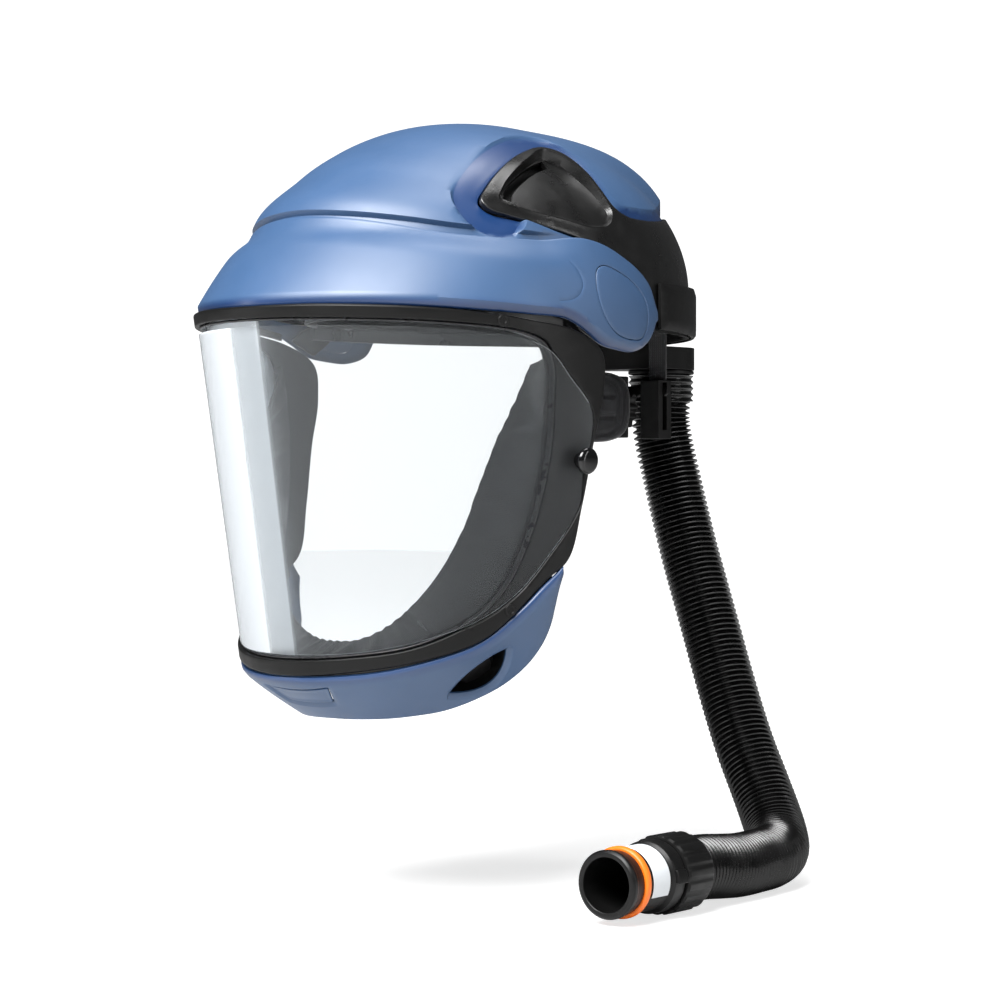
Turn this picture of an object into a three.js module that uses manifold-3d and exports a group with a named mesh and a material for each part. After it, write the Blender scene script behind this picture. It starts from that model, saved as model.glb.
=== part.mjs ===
// Powered air respirator headtop: a helmet shell with a tilting visor unit, a head harness,
// and a corrugated breathing hose that ends in a bayonet connector.
// Millimetres. +Z up, the face looks along -Y, +X is the wearer's left.
// The origin is on the middle plane, level with the visor's pivot axis, where the head carries it.
import * as THREE from 'three';
import { mergeVertices } from 'three/addons/utils/BufferGeometryUtils.js';
import Module from 'manifold-3d';

const wasm = await Module();
wasm.setup();

// ---------- driving dimensions ----------
const GAP = 0.35;                    // clearance left between touching pieces
const DOME = { cy: 2, cz: 10, a: 98, b: 135.5, c: 87 };   // outer helmet ellipsoid half sizes
const SKIN = 2.5;                    // wall of the moulded outer shells
const DOME_GRID = [40, 10];          // facets round the dome and from its top to its edge
const DOME_FRONT_Z = 12;             // lower edge of the blue crown in front
const DOME_REAR_Z = -14;             // lower edge of the black rear cover
const KINK_Y = -24;                  // where the crown's hidden skirt stops beside the pivot
const LINER = { cy: 2, cz: 10, a: 86, b: 120, c: 75 };  // inner wall of the air duct
const LINER_WALL = 2;

const RING_TOP = { z: -10, w: 106, d: 132, cy: -29.5 };   // visor's plan ellipse at the top
const RING_LOW = { z: -185, w: 95, d: 124.5, cy: -9.5 };   // and at the bottom
const FRAME_WALL = 3;
const FRAME_RAISE = 2.4;             // top and bottom strips stand proud of the side bars
const LENS_WALL = 1.5;
const LENS_LAP = 4;                  // how far the lens runs behind the frame
const FILM_WALL = 0.8;
const SEAL_BEAD = 1.3;               // width of the bead round the window

const PIVOT_R = 5;
const ARM = { x0: 101.3, x1: 103.2, disc: 9.5 };
const HOSE_R = 16.5;
const TABLE_Z = -306;                // level that the hose's far end lies on
const COLLAR_R = 19.8;
const PLUG = { mouth: [142, -58, TABLE_Z + COLLAR_R], turn: -5.3, bore: 13.4, tube: 16, lip: 16.9, body: 18 };
const PLUG_LENGTH = 70;              // from the mouth's face to the hose
const NAPE = { z: -50, y: 107, pinion: 5, clip: 39 };

// ---------- small helpers ----------
const rad = THREE.MathUtils.degToRad;
const mix = THREE.MathUtils.lerp;
const step = THREE.MathUtils.smoothstep;
const vec = (x, y, z) => new THREE.Vector3(x, y, z);

function material(color, roughness, metalness = 0, extra = {}) {
  return new THREE.MeshStandardMaterial({ color, roughness, metalness, ...extra });
}

const BLUE = () => material(0x2f5a96, 0.38, 0.35);
const BLACK = () => material(0x17181a, 0.5);
const SATIN_BLACK = () => material(0x0f1012, 0.35);
const RUBBER = () => material(0x1a1a1a, 0.8);
const FABRIC = () => material(0x1e1f22, 0.95);
const STEEL = () => material(0xb8bcc0, 0.3, 1);
const ORANGE = () => material(0xe87a1c, 0.55);
const PALE = () => material(0xd9dcdd, 0.6);
const CLEAR = () => material(0xdfe8ee, 0.05, 0, { transparent: true, opacity: 0.3 });

// A smooth curve through flat points, sampled evenly.
function smoothLine(points, count, closed = false) {
  const curve = new THREE.CatmullRomCurve3(points.map(([x, y]) => vec(x, y, 0)), closed, 'centripetal');
  const out = [];
  const last = closed ? count - 1 : count;
  for (let i = 0; i <= last; i++) {
    const p = curve.getPoint(i / count);
    out.push([p.x, p.y]);
  }
  return out;
}

// Value of a table of [position, value] pairs, joined by straight lines.
function table(pairs, at) {
  if (at <= pairs[0][0]) return pairs[0][1];
  for (let i = 1; i < pairs.length; i++) {
    const [x1, y1] = pairs[i];
    const [x0, y0] = pairs[i - 1];
    if (at <= x1) return mix(y0, y1, (at - x0) / (x1 - x0));
  }
  return pairs[pairs.length - 1][1];
}

function signedVolume(position, index) {
  const a = new THREE.Vector3();
  const b = new THREE.Vector3();
  const c = new THREE.Vector3();
  let sum = 0;
  for (let i = 0; i < index.length; i += 3) {
    a.fromBufferAttribute(position, index[i]);
    b.fromBufferAttribute(position, index[i + 1]);
    c.fromBufferAttribute(position, index[i + 2]);
    sum += a.dot(b.cross(c));
  }
  return sum / 6;
}

// Merges equal corners, drops triangles that have collapsed and turns the faces out.
function finishSolid(points, index) {
  const raw = new THREE.BufferGeometry();
  raw.setAttribute('position', new THREE.Float32BufferAttribute(points.flatMap((p) => [p.x, p.y, p.z]), 3));
  raw.setIndex(index);
  const merged = mergeVertices(raw, 1e-3);
  const order = merged.index.array;
  let kept = [];
  for (let i = 0; i < order.length; i += 3) {
    const [a, b, c] = [order[i], order[i + 1], order[i + 2]];
    if (a !== b && b !== c && c !== a) kept.push(a, b, c);
  }
  if (signedVolume(merged.attributes.position, kept) < 0) kept = kept.reverse();
  merged.setIndex(kept);
  merged.computeVertexNormals();
  return merged;
}

// A closed wall between two grids of points, outer[j][i] and inner[j][i].
function wall(outer, inner, closed = false) {
  const rows = outer.length;
  const cols = outer[0].length;
  const points = [...outer.flat(), ...inner.flat()];
  const shift = rows * cols;
  const index = [];
  const quad = (a, b, c, d) => index.push(a, b, c, a, c, d);
  const at = (j, i) => j * cols + (i % cols);
  const spans = closed ? cols : cols - 1;
  for (let j = 0; j < rows - 1; j++) {
    for (let i = 0; i < spans; i++) {
      quad(at(j, i), at(j, i + 1), at(j + 1, i + 1), at(j + 1, i));
      quad(shift + at(j, i), shift + at(j + 1, i), shift + at(j + 1, i + 1), shift + at(j, i + 1));
    }
  }
  for (let i = 0; i < spans; i++) {
    quad(at(0, i + 1), at(0, i), shift + at(0, i), shift + at(0, i + 1));
    quad(at(rows - 1, i), at(rows - 1, i + 1), shift + at(rows - 1, i + 1), shift + at(rows - 1, i));
  }
  if (!closed) {
    for (let j = 0; j < rows - 1; j++) {
      quad(at(j, 0), at(j + 1, 0), shift + at(j + 1, 0), shift + at(j, 0));
      quad(at(j + 1, cols - 1), at(j, cols - 1), shift + at(j, cols - 1), shift + at(j + 1, cols - 1));
    }
  }
  return finishSolid(points, index);
}

// Outward unit normal of surface(u, v), judged from a point inside.
function normalAt(surface, u, v, inside) {
  const h = 1e-3;
  const du = surface(Math.min(u + h, 1), v).sub(surface(Math.max(u - h, 0), v));
  const dv = surface(u, Math.min(v + h, 1)).sub(surface(u, Math.max(v - h, 0)));
  const n = du.cross(dv).normalize();
  return n.dot(surface(u, v).sub(inside)) < 0 ? n.negate() : n;
}

// A wall of even thickness under surface(u, v), both from 0 to 1.
function shell(surface, nu, nv, thickness, inside, lift = 0) {
  const outer = [];
  const inner = [];
  for (let j = 0; j <= nv; j++) {
    const rowOut = [];
    const rowIn = [];
    for (let i = 0; i <= nu; i++) {
      const p = surface(i / nu, j / nv);
      const n = normalAt(surface, i / nu, j / nv, inside);
      rowOut.push(p.clone().addScaledVector(n, lift));
      rowIn.push(p.clone().addScaledVector(n, lift - thickness));
    }
    outer.push(rowOut);
    inner.push(rowIn);
  }
  return wall(outer, inner);
}

function shapeOf(points) {
  return new THREE.Shape(points.map(([x, y]) => new THREE.Vector2(x, y)));
}

function circlePoints(x, y, rx, ry = rx, count = 24) {
  return new THREE.EllipseCurve(x, y, rx, ry).getPoints(count).slice(0, count);
}

function extrude(shape, depth, curveSegments = 12) {
  return new THREE.ExtrudeGeometry(shape, { depth, bevelEnabled: false, curveSegments });
}

// Extrudes a (y, z) outline along X, from x0 to x1.
function prismX(points, x0, x1) {
  const turn = new THREE.Matrix4().makeBasis(vec(0, 1, 0), vec(0, 0, 1), vec(1, 0, 0));
  return extrude(shapeOf(points), x1 - x0).applyMatrix4(turn).translate(x0, 0, 0);
}

function toSolid(geometry) {
  const bare = geometry.clone();
  bare.deleteAttribute('normal');
  bare.deleteAttribute('uv');
  const merged = mergeVertices(bare, 1e-3);
  const vertProperties = new Float32Array(merged.attributes.position.array);
  const triVerts = new Uint32Array(merged.index.array);
  return new wasm.Manifold(new wasm.Mesh({ numProp: 3, vertProperties, triVerts }));
}

function fromSolid(solid) {
  const mesh = solid.getMesh();
  const geometry = new THREE.BufferGeometry();
  geometry.setAttribute('position', new THREE.BufferAttribute(new Float32Array(mesh.vertProperties), 3));
  geometry.setIndex(new THREE.BufferAttribute(new Uint32Array(mesh.triVerts), 1));
  geometry.computeVertexNormals();
  return geometry;
}

const cut = (a, ...tools) => fromSolid(tools.reduce((s, t) => s.subtract(toSolid(t)), toSolid(a)));
const keep = (a, b) => fromSolid(toSolid(a).intersect(toSolid(b)));
const join = (a, ...more) => fromSolid(more.reduce((s, t) => s.add(toSolid(t)), toSolid(a)));

// A lathe about Z whose profile [r, z] closes on itself.
function lathe(profile, segments = 24) {
  const points = profile.map(([r, z]) => new THREE.Vector2(r, z));
  points.push(points[0].clone());
  const raw = new THREE.LatheGeometry(points, segments);
  const bare = raw.clone();
  bare.deleteAttribute('normal');
  bare.deleteAttribute('uv');
  const corners = [];
  for (let i = 0; i < bare.attributes.position.count; i++) {
    corners.push(new THREE.Vector3().fromBufferAttribute(bare.attributes.position, i));
  }
  return finishSolid(corners, Array.from(bare.index.array)).rotateX(Math.PI / 2);
}

const tube = (outer, inner, z0, z1, segments) =>
  lathe([[inner, z0], [outer, z0], [outer, z1], [inner, z1]], segments);
const disc = (r, z0, z1, segments) => lathe([[0, z0], [r, z0], [r, z1], [0, z1]], segments);

const model = new THREE.Group();

function add(name, geometry, look, parent = model) {
  const mesh = new THREE.Mesh(geometry, look);
  mesh.name = name;
  parent.add(mesh);
  return mesh;
}

function eachSide(build) {
  build('left', 1);
  build('right', -1);
}

// ---------- helmet dome ----------
// Point and outward normal of an ellipsoid dome that drops straight down below its centre.
function domePoint(size, turn, drop, lowZ) {
  const split = 0.82;
  const rise = drop < split ? rad(90 * (1 - drop / split)) : 0;
  const x = Math.sin(turn) * Math.cos(rise);
  const y = -Math.cos(turn) * Math.cos(rise);
  const z = Math.sin(rise);
  const wallZ = drop < split ? 0 : ((drop - split) / (1 - split)) * (lowZ - size.cz);
  const point = vec(size.a * x, size.cy + size.b * y, size.cz + size.c * z + wallZ);
  const normal = vec(x / size.a, y / size.b, z / size.c).normalize();
  return { point, normal };
}

function domeShell(size, lowZ, nu, nv, thickness, offset = () => 0) {
  const outer = [];
  const inner = [];
  for (let j = 0; j <= nv; j++) {
    const rowOut = [];
    const rowIn = [];
    for (let i = 0; i < nu; i++) {
      const { point, normal } = domePoint(size, (i / nu) * 2 * Math.PI, j / nv, lowZ);
      rowOut.push(point.clone().addScaledVector(normal, offset(point)));
      rowIn.push(point.clone().addScaledVector(normal, -thickness));
    }
    outer.push(rowOut);
    inner.push(rowIn);
  }
  return wall(outer, inner, true);
}

// Side view (y, z) of the parting between the blue crown and the black rear cover:
// along the wing's lower edge, round its nose, over the fan and back along the spine.
const WING_STEPS = 40;
const WING_LINE = smoothLine([
  [KINK_Y, 30.6], [-44, 35.6], [-60, 39.8], [-68, 42.6], [-70.5, 47], [-62, 56.5], [-46, 67.5],
  [-27, 76], [-7, 80.5], [4, 77.5], [9, 68], [11, 58], [14, 50], [22, 45.6], [42, 44.6],
  [66, 46.5], [94, 51], [150, 57],
], WING_STEPS);
const WING_NOSE = WING_LINE.slice(Math.round(WING_STEPS * 0.26), Math.round(WING_STEPS * 0.7));

// Shifts an open line sideways, to the right of its direction when distance is positive.
function shiftLine(line, distance) {
  return line.map((p, i) => {
    const a = line[Math.max(i - 1, 0)];
    const b = line[Math.min(i + 1, line.length - 1)];
    const length = Math.hypot(b[0] - a[0], b[1] - a[1]);
    const side = [(b[1] - a[1]) / length, -(b[0] - a[0]) / length];
    return [p[0] + side[0] * distance, p[1] + side[1] * distance];
  });
}

function distanceToLine(line, y, z) {
  let best = Infinity;
  for (let i = 0; i < line.length - 1; i++) {
    const [ay, az] = line[i];
    const [by, bz] = line[i + 1];
    const t = ((y - ay) * (by - ay) + (z - az) * (bz - az)) / ((by - ay) ** 2 + (bz - az) ** 2);
    const k = THREE.MathUtils.clamp(t, 0, 1);
    best = Math.min(best, Math.hypot(y - mix(ay, by, k), z - mix(az, bz, k)));
  }
  return best;
}

// The crown dips round the wing's nose and rises into a spine that overhangs the back.
function crownOffset(p) {
  const side = Math.abs(p.x);
  const moat = (1 - step(distanceToLine(WING_NOSE, p.y, p.z), 6, 15)) * step(side, 38, 48);
  const spine = step(p.y, 15, 112) * (1 - step(side, 34, 66)) * step(p.z, 36, 50);
  return 8 * spine - 1.6 * moat * (1 - step(p.y, 4, 20));
}

// Fan-shaped hollow in the wing, seen from the side.
const FAN = smoothLine([
  [-55, 47.5], [-44, 59], [-29, 68.5], [-10, 75], [-2, 69.5], [3, 60], [5, 50], [-1, 41.5],
  [-15, 38.5], [-36, 41.6],
], 24, true);

function inside(outline, y, z) {
  let odd = false;
  for (let i = 0, j = outline.length - 1; i < outline.length; j = i++) {
    const [yi, zi] = outline[i];
    const [yj, zj] = outline[j];
    if (zi > z !== zj > z && y < ((yj - yi) * (z - zi)) / (zj - zi) + yi) odd = !odd;
  }
  return odd;
}

function rearOffset(p) {
  const closed = [...FAN, FAN[0]];
  const depth = inside(FAN, p.y, p.z) ? step(distanceToLine(closed, p.y, p.z), 0, 5) : 0;
  return 0.6 - 1.7 * depth * step(Math.abs(p.x), 40, 50);
}

function crownCover() {
  const outline = [...WING_LINE, [150, 140], [-150, 140], [-150, DOME_FRONT_Z], [KINK_Y, DOME_FRONT_Z]];
  const skin = domeShell(DOME, DOME_REAR_Z, ...DOME_GRID, SKIN, crownOffset);
  return keep(skin, prismX(outline, -130, 130));
}

// Arc slot at the front of the fan, where the duct breathes.
const ventSlot = () => {
  const outer = smoothLine([[-51, 49], [-41, 59], [-27, 67], [-11, 72]], 8);
  const inner = smoothLine([[-11, 68.8], [-25, 64], [-38, 56.4], [-46.5, 47.6]], 8);
  return prismX([...outer, ...inner], -130, 130);
};

function rearCover() {
  const edge = shiftLine(WING_LINE, GAP);
  const outline = [...edge, [150, DOME_REAR_Z - 5], [KINK_Y + GAP, DOME_REAR_Z - 5]];
  const skin = domeShell(DOME, DOME_REAR_Z, ...DOME_GRID, SKIN, rearOffset);
  const body = keep(skin, prismX(outline, -130, 130));
  const pinHole = disc(PIVOT_R + GAP, -130, 130, 24).rotateY(Math.PI / 2);
  return cut(body, ventSlot(), pinHole);
}

// Strip that follows a plan ellipse between two turns (degrees from the front).
function plateBand(a, b, cy, from, to, z0, z1, thickness, count) {
  const surface = (u, v) => {
    const turn = rad(mix(from, to, u));
    return vec(a * Math.sin(turn), cy - b * Math.cos(turn), mix(z0(u), z1(u), v));
  };
  return shell(surface, count, 1, thickness, vec(0, cy, 0));
}

// Crescent plate between two plan ellipses, with slots across it.
function crescent(outerSize, innerSize, from, to, slots) {
  const ring = (size, turn) => [size.a * Math.sin(rad(turn)), size.cy - size.b * Math.cos(rad(turn))];
  const line = (size, a, b, count) => Array.from({ length: count + 1 }, (_, i) => ring(size, mix(a, b, i / count)));
  const shape = shapeOf([...line(outerSize, from, to, 18), ...line(innerSize, to, from, 18)]);
  for (const turn of slots) {
    const band = (k) => ({ a: mix(innerSize.a, outerSize.a, k), b: mix(innerSize.b, outerSize.b, k), cy: DOME.cy });
    const hole = [...line(band(0.3), turn - 5, turn + 5, 2), ...line(band(0.7), turn + 5, turn - 5, 2)];
    shape.holes.push(new THREE.Path(hole.map(([x, y]) => new THREE.Vector2(x, y))));
  }
  return shape;
}

const INSIDE_SKIN = { a: DOME.a - SKIN - 3 * GAP, b: DOME.b - SKIN - 3 * GAP, cy: DOME.cy };
const OUTSIDE_LINER = { a: LINER.a + GAP, b: LINER.b + GAP, cy: LINER.cy };

function helmet() {
  add('crown_cover', crownCover(), BLUE());
  add('rear_cover', rearCover(), SATIN_BLACK());
  add('duct_liner', domeShell(LINER, -8, 28, 7, LINER_WALL), BLACK());
  const diffuser = extrude(crescent(INSIDE_SKIN, OUTSIDE_LINER, -62, 62, [-50, -30, -10, 10, 30, 50]), 3);
  add('air_diffuser', diffuser.translate(0, 0, DOME_FRONT_Z), BLACK());
  const foot = crescent(INSIDE_SKIN, OUTSIDE_LINER, 112, 248, [125, 145, 165, 180, 195, 215, 235]);
  add('plenum_plate', extrude(foot, 3).translate(0, 0, -7.5), BLACK());
  const rim = (u) => 14 - 3 * Math.abs(2 * u - 1);
  const low = (u) => -15 + 2 * Math.abs(2 * u - 1);
  add('rear_band', plateBand(102.4, 141.2, 1.6, 106, 254, low, rim, 2.8, 36), SATIN_BLACK());
}

// ---------- visor surface ----------
function ringPoint(turn, z, offset = 0) {
  const k = (z - RING_TOP.z) / (RING_LOW.z - RING_TOP.z);
  const w = mix(RING_TOP.w, RING_LOW.w, k);
  const d = mix(RING_TOP.d, RING_LOW.d, k);
  const cy = mix(RING_TOP.cy, RING_LOW.cy, k);
  const [s, c] = [Math.sin(rad(turn)), Math.cos(rad(turn))];
  const normal = vec(s / w, -c / d, 0).normalize();
  return vec(w * s, cy - d * c, z).addScaledVector(normal, offset);
}

// Outlines on the visor surface, as [turn in degrees, z], from the top middle to the left and down.
// The three lists pair up point by point.
const WINDOW_HALF = [
  [0, -12.6], [26, -13.2], [54, -15], [70, -18], [77, -23], [79.6, -34], [79.4, -50], [78, -76],
  [72, -116], [64, -145], [57, -158], [47, -168], [37, -174], [20, -178], [0, -179.5],
];
const FRAME_HALF = [
  [0, -6.5], [26, -6.5], [54, -8.6], [74, -13], [86, -17], [94.5, -26], [95, -46], [91, -72],
  [86.5, -104], [81.5, -131], [74, -142], [57, -169.5], [42, -179], [22, -185], [0, -187.5],
];

function mirrored(half) {
  const back = half.slice(1, -1).reverse().map(([a, z]) => [-a, z]);
  return [...half, ...back];
}

const OUTLINE_STEPS = 44;
const WINDOW = smoothLine(mirrored(WINDOW_HALF), OUTLINE_STEPS, true);
const FRAME = smoothLine(mirrored(FRAME_HALF), OUTLINE_STEPS, true);
const MM_PER_DEGREE = 2.05;

// Moves a closed [turn, z] outline outwards by a distance in millimetres.
function growOutline(outline, distance) {
  const n = outline.length;
  return outline.map(([a, z], i) => {
    const [a0, z0] = outline[(i + n - 1) % n];
    const [a1, z1] = outline[(i + 1) % n];
    const [da, dz] = [(a1 - a0) * MM_PER_DEGREE, z1 - z0];
    const length = Math.hypot(da, dz);
    return [a - (dz / length) * (distance / MM_PER_DEGREE), z + (da / length) * distance];
  });
}

// A ring on the visor surface between two paired outlines, with its own outer and inner faces.
function visorRing(innerLine, outerLine, bands, outerOffset, innerOffset) {
  const outer = [];
  const inner = [];
  for (let j = 0; j <= bands; j++) {
    const line = innerLine.map(([a, z], i) => [mix(a, outerLine[i][0], j / bands), mix(z, outerLine[i][1], j / bands)]);
    outer.push(line.map(([a, z]) => ringPoint(a, z, outerOffset(a, z, j / bands))));
    inner.push(line.map(([a, z]) => ringPoint(a, z, innerOffset(a, z, j / bands))));
  }
  return wall(outer, inner, true);
}

// A filled patch of the visor surface within an outline.
function visorPatch(outline, bands, outerOffset, thickness) {
  const outer = [];
  const inner = [];
  for (let j = 0; j <= bands; j++) {
    const line = outline.map(([a, z]) => [a * (j / bands), mix(-95, z, j / bands)]);
    outer.push(line.map(([a, z]) => ringPoint(a, z, outerOffset)));
    inner.push(line.map(([a, z]) => ringPoint(a, z, outerOffset - thickness)));
  }
  return wall(outer, inner, true);
}

// 1 on the top and bottom strips of the frame, 0 on its side bars.
const stripRaise = (a, z) => Math.max(step(z, -30, -22), 1 - step(z, -160, -140)) * (1 - step(Math.abs(a), 80, 92));

const FILM_HALF = [
  [0, -16.5], [30, -17], [55, -18.5], [71, -22], [78, -27], [84, -40], [90.5, -56], [90, -72],
  [87.2, -86], [85.6, -104], [76, -128], [66, -148], [54, -162], [30, -174], [0, -177],
];

function visorFrameParts() {
  const bore = growOutline(WINDOW, GAP);
  const film = smoothLine(mirrored(FILM_HALF), 44, true);
  const pocket = visorPatch(growOutline(film, 0.6), 5, 6, 6);
  const front = (a, z) => FRAME_RAISE * stripRaise(a, z);
  const frame = visorRing(bore, FRAME, 2, front, () => -FRAME_WALL);
  add('visor_frame', cut(frame, pocket), BLACK());
  const lensEdge = growOutline(WINDOW, LENS_LAP);
  add('visor_lens', visorPatch(lensEdge, 5, -FRAME_WALL - 2 * GAP, LENS_WALL), CLEAR());
  const seal = visorRing(growOutline(WINDOW, -SEAL_BEAD), WINDOW, 1, () => 0, () => -FRAME_WALL);
  add('lens_seal', cut(seal, pocket), RUBBER());
  add('visor_film', visorPatch(film, 5, GAP + FILM_WALL, FILM_WALL), CLEAR());
}

// Places a part modelled about +Z so that +Z points out of the visor surface.
function placeOnVisor(mesh, turn, z, offset) {
  const out = ringPoint(turn, z, 1).sub(ringPoint(turn, z, 0));
  mesh.quaternion.setFromUnitVectors(vec(0, 0, 1), out.normalize());
  mesh.position.copy(ringPoint(turn, z, offset));
}

function filmPeg(name, side) {
  const profile = [[0, 0], [4, 0], [4, 3.4], [6.6, 4.5], [6.8, 6.5], [5.4, 8.1], [0, 8.5]];
  placeOnVisor(add(name, lathe(profile, 24), SATIN_BLACK()), side * 85.5, -81, 2 * GAP + FILM_WALL);
}

function frameScrews() {
  eachSide((name, side) => {
    const head = () => lathe([[0, 0], [3.1, 0], [3.1, 0.7], [2.2, 1.2], [0, 1.2]], 16);
    placeOnVisor(add(`frame_screw_top_${name}`, head(), BLACK()), side * 66, -13.6, FRAME_RAISE + GAP);
    placeOnVisor(add(`frame_screw_low_${name}`, head(), BLACK()), side * 64.5, -155, FRAME_RAISE + GAP);
  });
}

// ---------- chin guard ----------
const CHIN_TOP = [[0, -188.7], [14, -188.1], [31, -185.2], [47, -178], [57, -170.5], [68, -154], [74, -143.5], [80, -134]];
const CHIN_LOW = [[0, -214.8], [18, -214.6], [35, -213], [49, -209], [62, -198], [71, -184], [77, -167], [80, -144]];
const CHIN_END = 80;

// Smooth reading of a list of [turn, z] pairs.
function profileOf(pairs) {
  const line = smoothLine([[-pairs[1][0], pairs[1][1]], ...pairs], 96);
  return (turn) => table(line, turn);
}
const chinTop = profileOf(CHIN_TOP);
const chinLow = profileOf(CHIN_LOW);

function chinSurface(u, v) {
  const turn = mix(-CHIN_END, CHIN_END, u);
  const side = Math.abs(turn);
  const top = chinTop(side) - GAP;
  const low = chinLow(side);
  const tuck = mix(28, 7, step(side, 40, CHIN_END));
  return ringPoint(turn, mix(top, low, v), 3.2 - tuck * Math.pow(v, 1.15));
}

function leafShape(length, height) {
  const shape = new THREE.Shape();
  shape.moveTo(-length / 2, -height * 0.15);
  shape.quadraticCurveTo(-length * 0.1, height * 0.72, length / 2, height * 0.5);
  shape.quadraticCurveTo(length * 0.2, -height * 0.72, -length / 2, -height * 0.15);
  return shape;
}

const CHIN_SLOT = { turn: 58.5, v: 0.68, length: 36, height: 20, climb: 30 };
const CHIN_WALL = 3;

// Frame on the left of the chin guard: +Z out of the surface, +X backwards along the slot.
function slotFrame(depth) {
  const u = 0.5 + CHIN_SLOT.turn / (2 * CHIN_END);
  const out = normalAt(chinSurface, u, CHIN_SLOT.v, vec(0, -60, -150));
  const level = vec(-out.y, out.x, 0).normalize();
  const up = out.clone().cross(level);
  const climb = rad(CHIN_SLOT.climb);
  const x = level.multiplyScalar(Math.cos(climb)).addScaledVector(up, Math.sin(climb));
  const origin = chinSurface(u, CHIN_SLOT.v).addScaledVector(out, -depth);
  return new THREE.Matrix4().makeBasis(x, out.clone().cross(x), out).setPosition(origin);
}

function onChinSide(geometry, side, depth) {
  const placed = geometry.applyMatrix4(slotFrame(depth));
  return side > 0 ? placed : mirrorX(placed);
}

const slotCutter = (side) => onChinSide(extrude(leafShape(CHIN_SLOT.length, CHIN_SLOT.height), 14, 4), side, 7);

function mirrorX(geometry) {
  const bare = geometry.clone().applyMatrix4(new THREE.Matrix4().makeScale(-1, 1, 1));
  const flat = bare.index ? bare.toNonIndexed() : bare;
  const corners = [];
  for (let i = 0; i < flat.attributes.position.count; i++) {
    corners.push(new THREE.Vector3().fromBufferAttribute(flat.attributes.position, i));
  }
  return finishSolid(corners, corners.map((_, i) => i));
}

const BADGE = { v: 0.46, top: 22, low: 16, height: 12, sink: 1.2 };

function badgeFrame() {
  const centre = chinSurface(0.5, BADGE.v);
  const down = chinSurface(0.5, BADGE.v + 0.01).sub(centre).normalize();
  const out = vec(1, 0, 0).cross(down).normalize();
  if (out.y > 0) out.negate();
  const up = down.clone().negate();
  return new THREE.Matrix4().makeBasis(up.clone().cross(out), up, out).setPosition(centre);
}

function badgeGeometry(grow, depth, from) {
  const [t, l, h] = [BADGE.top + grow, BADGE.low + grow, BADGE.height / 2 + grow];
  return extrude(shapeOf([[-l, -h], [l, -h], [t, h], [-t, h]]), depth).translate(0, 0, from)
    .applyMatrix4(badgeFrame());
}

function chinParts() {
  const body = shell(chinSurface, 34, 4, CHIN_WALL, vec(0, -60, -150));
  const recess = badgeGeometry(GAP, 8, -BADGE.sink);
  add('chin_guard', cut(body, slotCutter(1), slotCutter(-1), recess), BLUE());
  add('chin_badge', badgeGeometry(0, 1, -BADGE.sink + GAP), BLUE());
}

const VALVE_DEPTH = 14;

function exhaleValve(name, side) {
  add(`valve_seat_${name}`, onChinSide(tube(11, 6.5, 0, 2, 24), side, VALVE_DEPTH), BLACK());
  add(`valve_flap_${name}`, onChinSide(disc(9, 2 + GAP, 3 + GAP, 24), side, VALVE_DEPTH), RUBBER());
}

// ---------- brow band ----------
// Upper edge, shoulder and lower edge of the band's left half, front to back.
const BROW_TOP = [
  [0, -129.5, 40], [28, -125, 38.6], [55, -111, 35.6], [73, -93.5, 32.6], [87, -70, 30.6], [94.5, -48, 30],
  [98.6, -26, 30.4], [100.6, -11, 28], [101.4, 4, 22.6], [101.6, 18, 15.5], [101, 27, 8], [100.2, 32, -2],
];
const BROW_MID = [
  [0, -151, 21], [35, -145.5, 20], [66, -126, 19], [87, -104, 17], [101, -77, 14], [106.5, -52, 12],
  [109.5, -28, 8], [111.5, -12, 4], [112, 1, 1], [110.5, 14, -3], [107, 25, -4], [103, 32.5, -5],
];
const BROW_LOW = [
  [0, -163.5, -4.6], [42, -152, -5], [75, -127.5, -6], [95, -99, -7.6], [105.5, -68, -9.4], [108.4, -44, -11],
  [109, -30, -17], [108.6, -18, -23.5], [107.4, -4, -26], [105.8, 11, -26.6], [103.4, 24, -22], [101.2, 32.6, -10],
];

function halfCurve(points) {
  const all = [...points.slice(1).reverse().map(([x, y, z]) => vec(-x, y, z)), ...points.map((p) => vec(...p))];
  return new THREE.CatmullRomCurve3(all, false, 'centripetal');
}
const BROW = { top: halfCurve(BROW_TOP), mid: halfCurve(BROW_MID), low: halfCurve(BROW_LOW) };

function browSurface(u, v) {
  const [a, b, c] = [BROW.top.getPoint(u), BROW.mid.getPoint(u), BROW.low.getPoint(u)];
  return a.multiplyScalar((1 - v) ** 2).addScaledVector(b, 2 * v * (1 - v)).addScaledVector(c, v * v);
}

// Outline of the pivot cap in side view.
const CAP = smoothLine([
  [-23, 2], [-21, 13.5], [-15, 16.5], [-4, 14], [8, 8.5], [17, 0], [18.5, -10], [14, -18.5],
  [4, -20], [-10, -17], [-19, -9],
], 24, true);

function growClosed(line, distance) {
  const n = line.length;
  return line.map((p, i) => {
    const [a, b] = [line[(i + n - 1) % n], line[(i + 1) % n]];
    const length = Math.hypot(b[0] - a[0], b[1] - a[1]);
    return [p[0] - ((b[1] - a[1]) / length) * distance, p[1] + ((b[0] - a[0]) / length) * distance];
  });
}

function browParts() {
  const band = shell(browSurface, 38, 4, 2.4, vec(0, 0, 0));
  const wide = growClosed(CAP, GAP);
  add('brow_band', cut(band, prismX(wide, 90, 130), prismX(wide, -130, -90)), BLUE());
  eachSide((name, side) => {
    const range = side > 0 ? [90, 130] : [-130, -90];
    add(`hinge_cap_${name}`, keep(band, prismX(CAP, ...range)), BLUE());
  });
}

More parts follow.
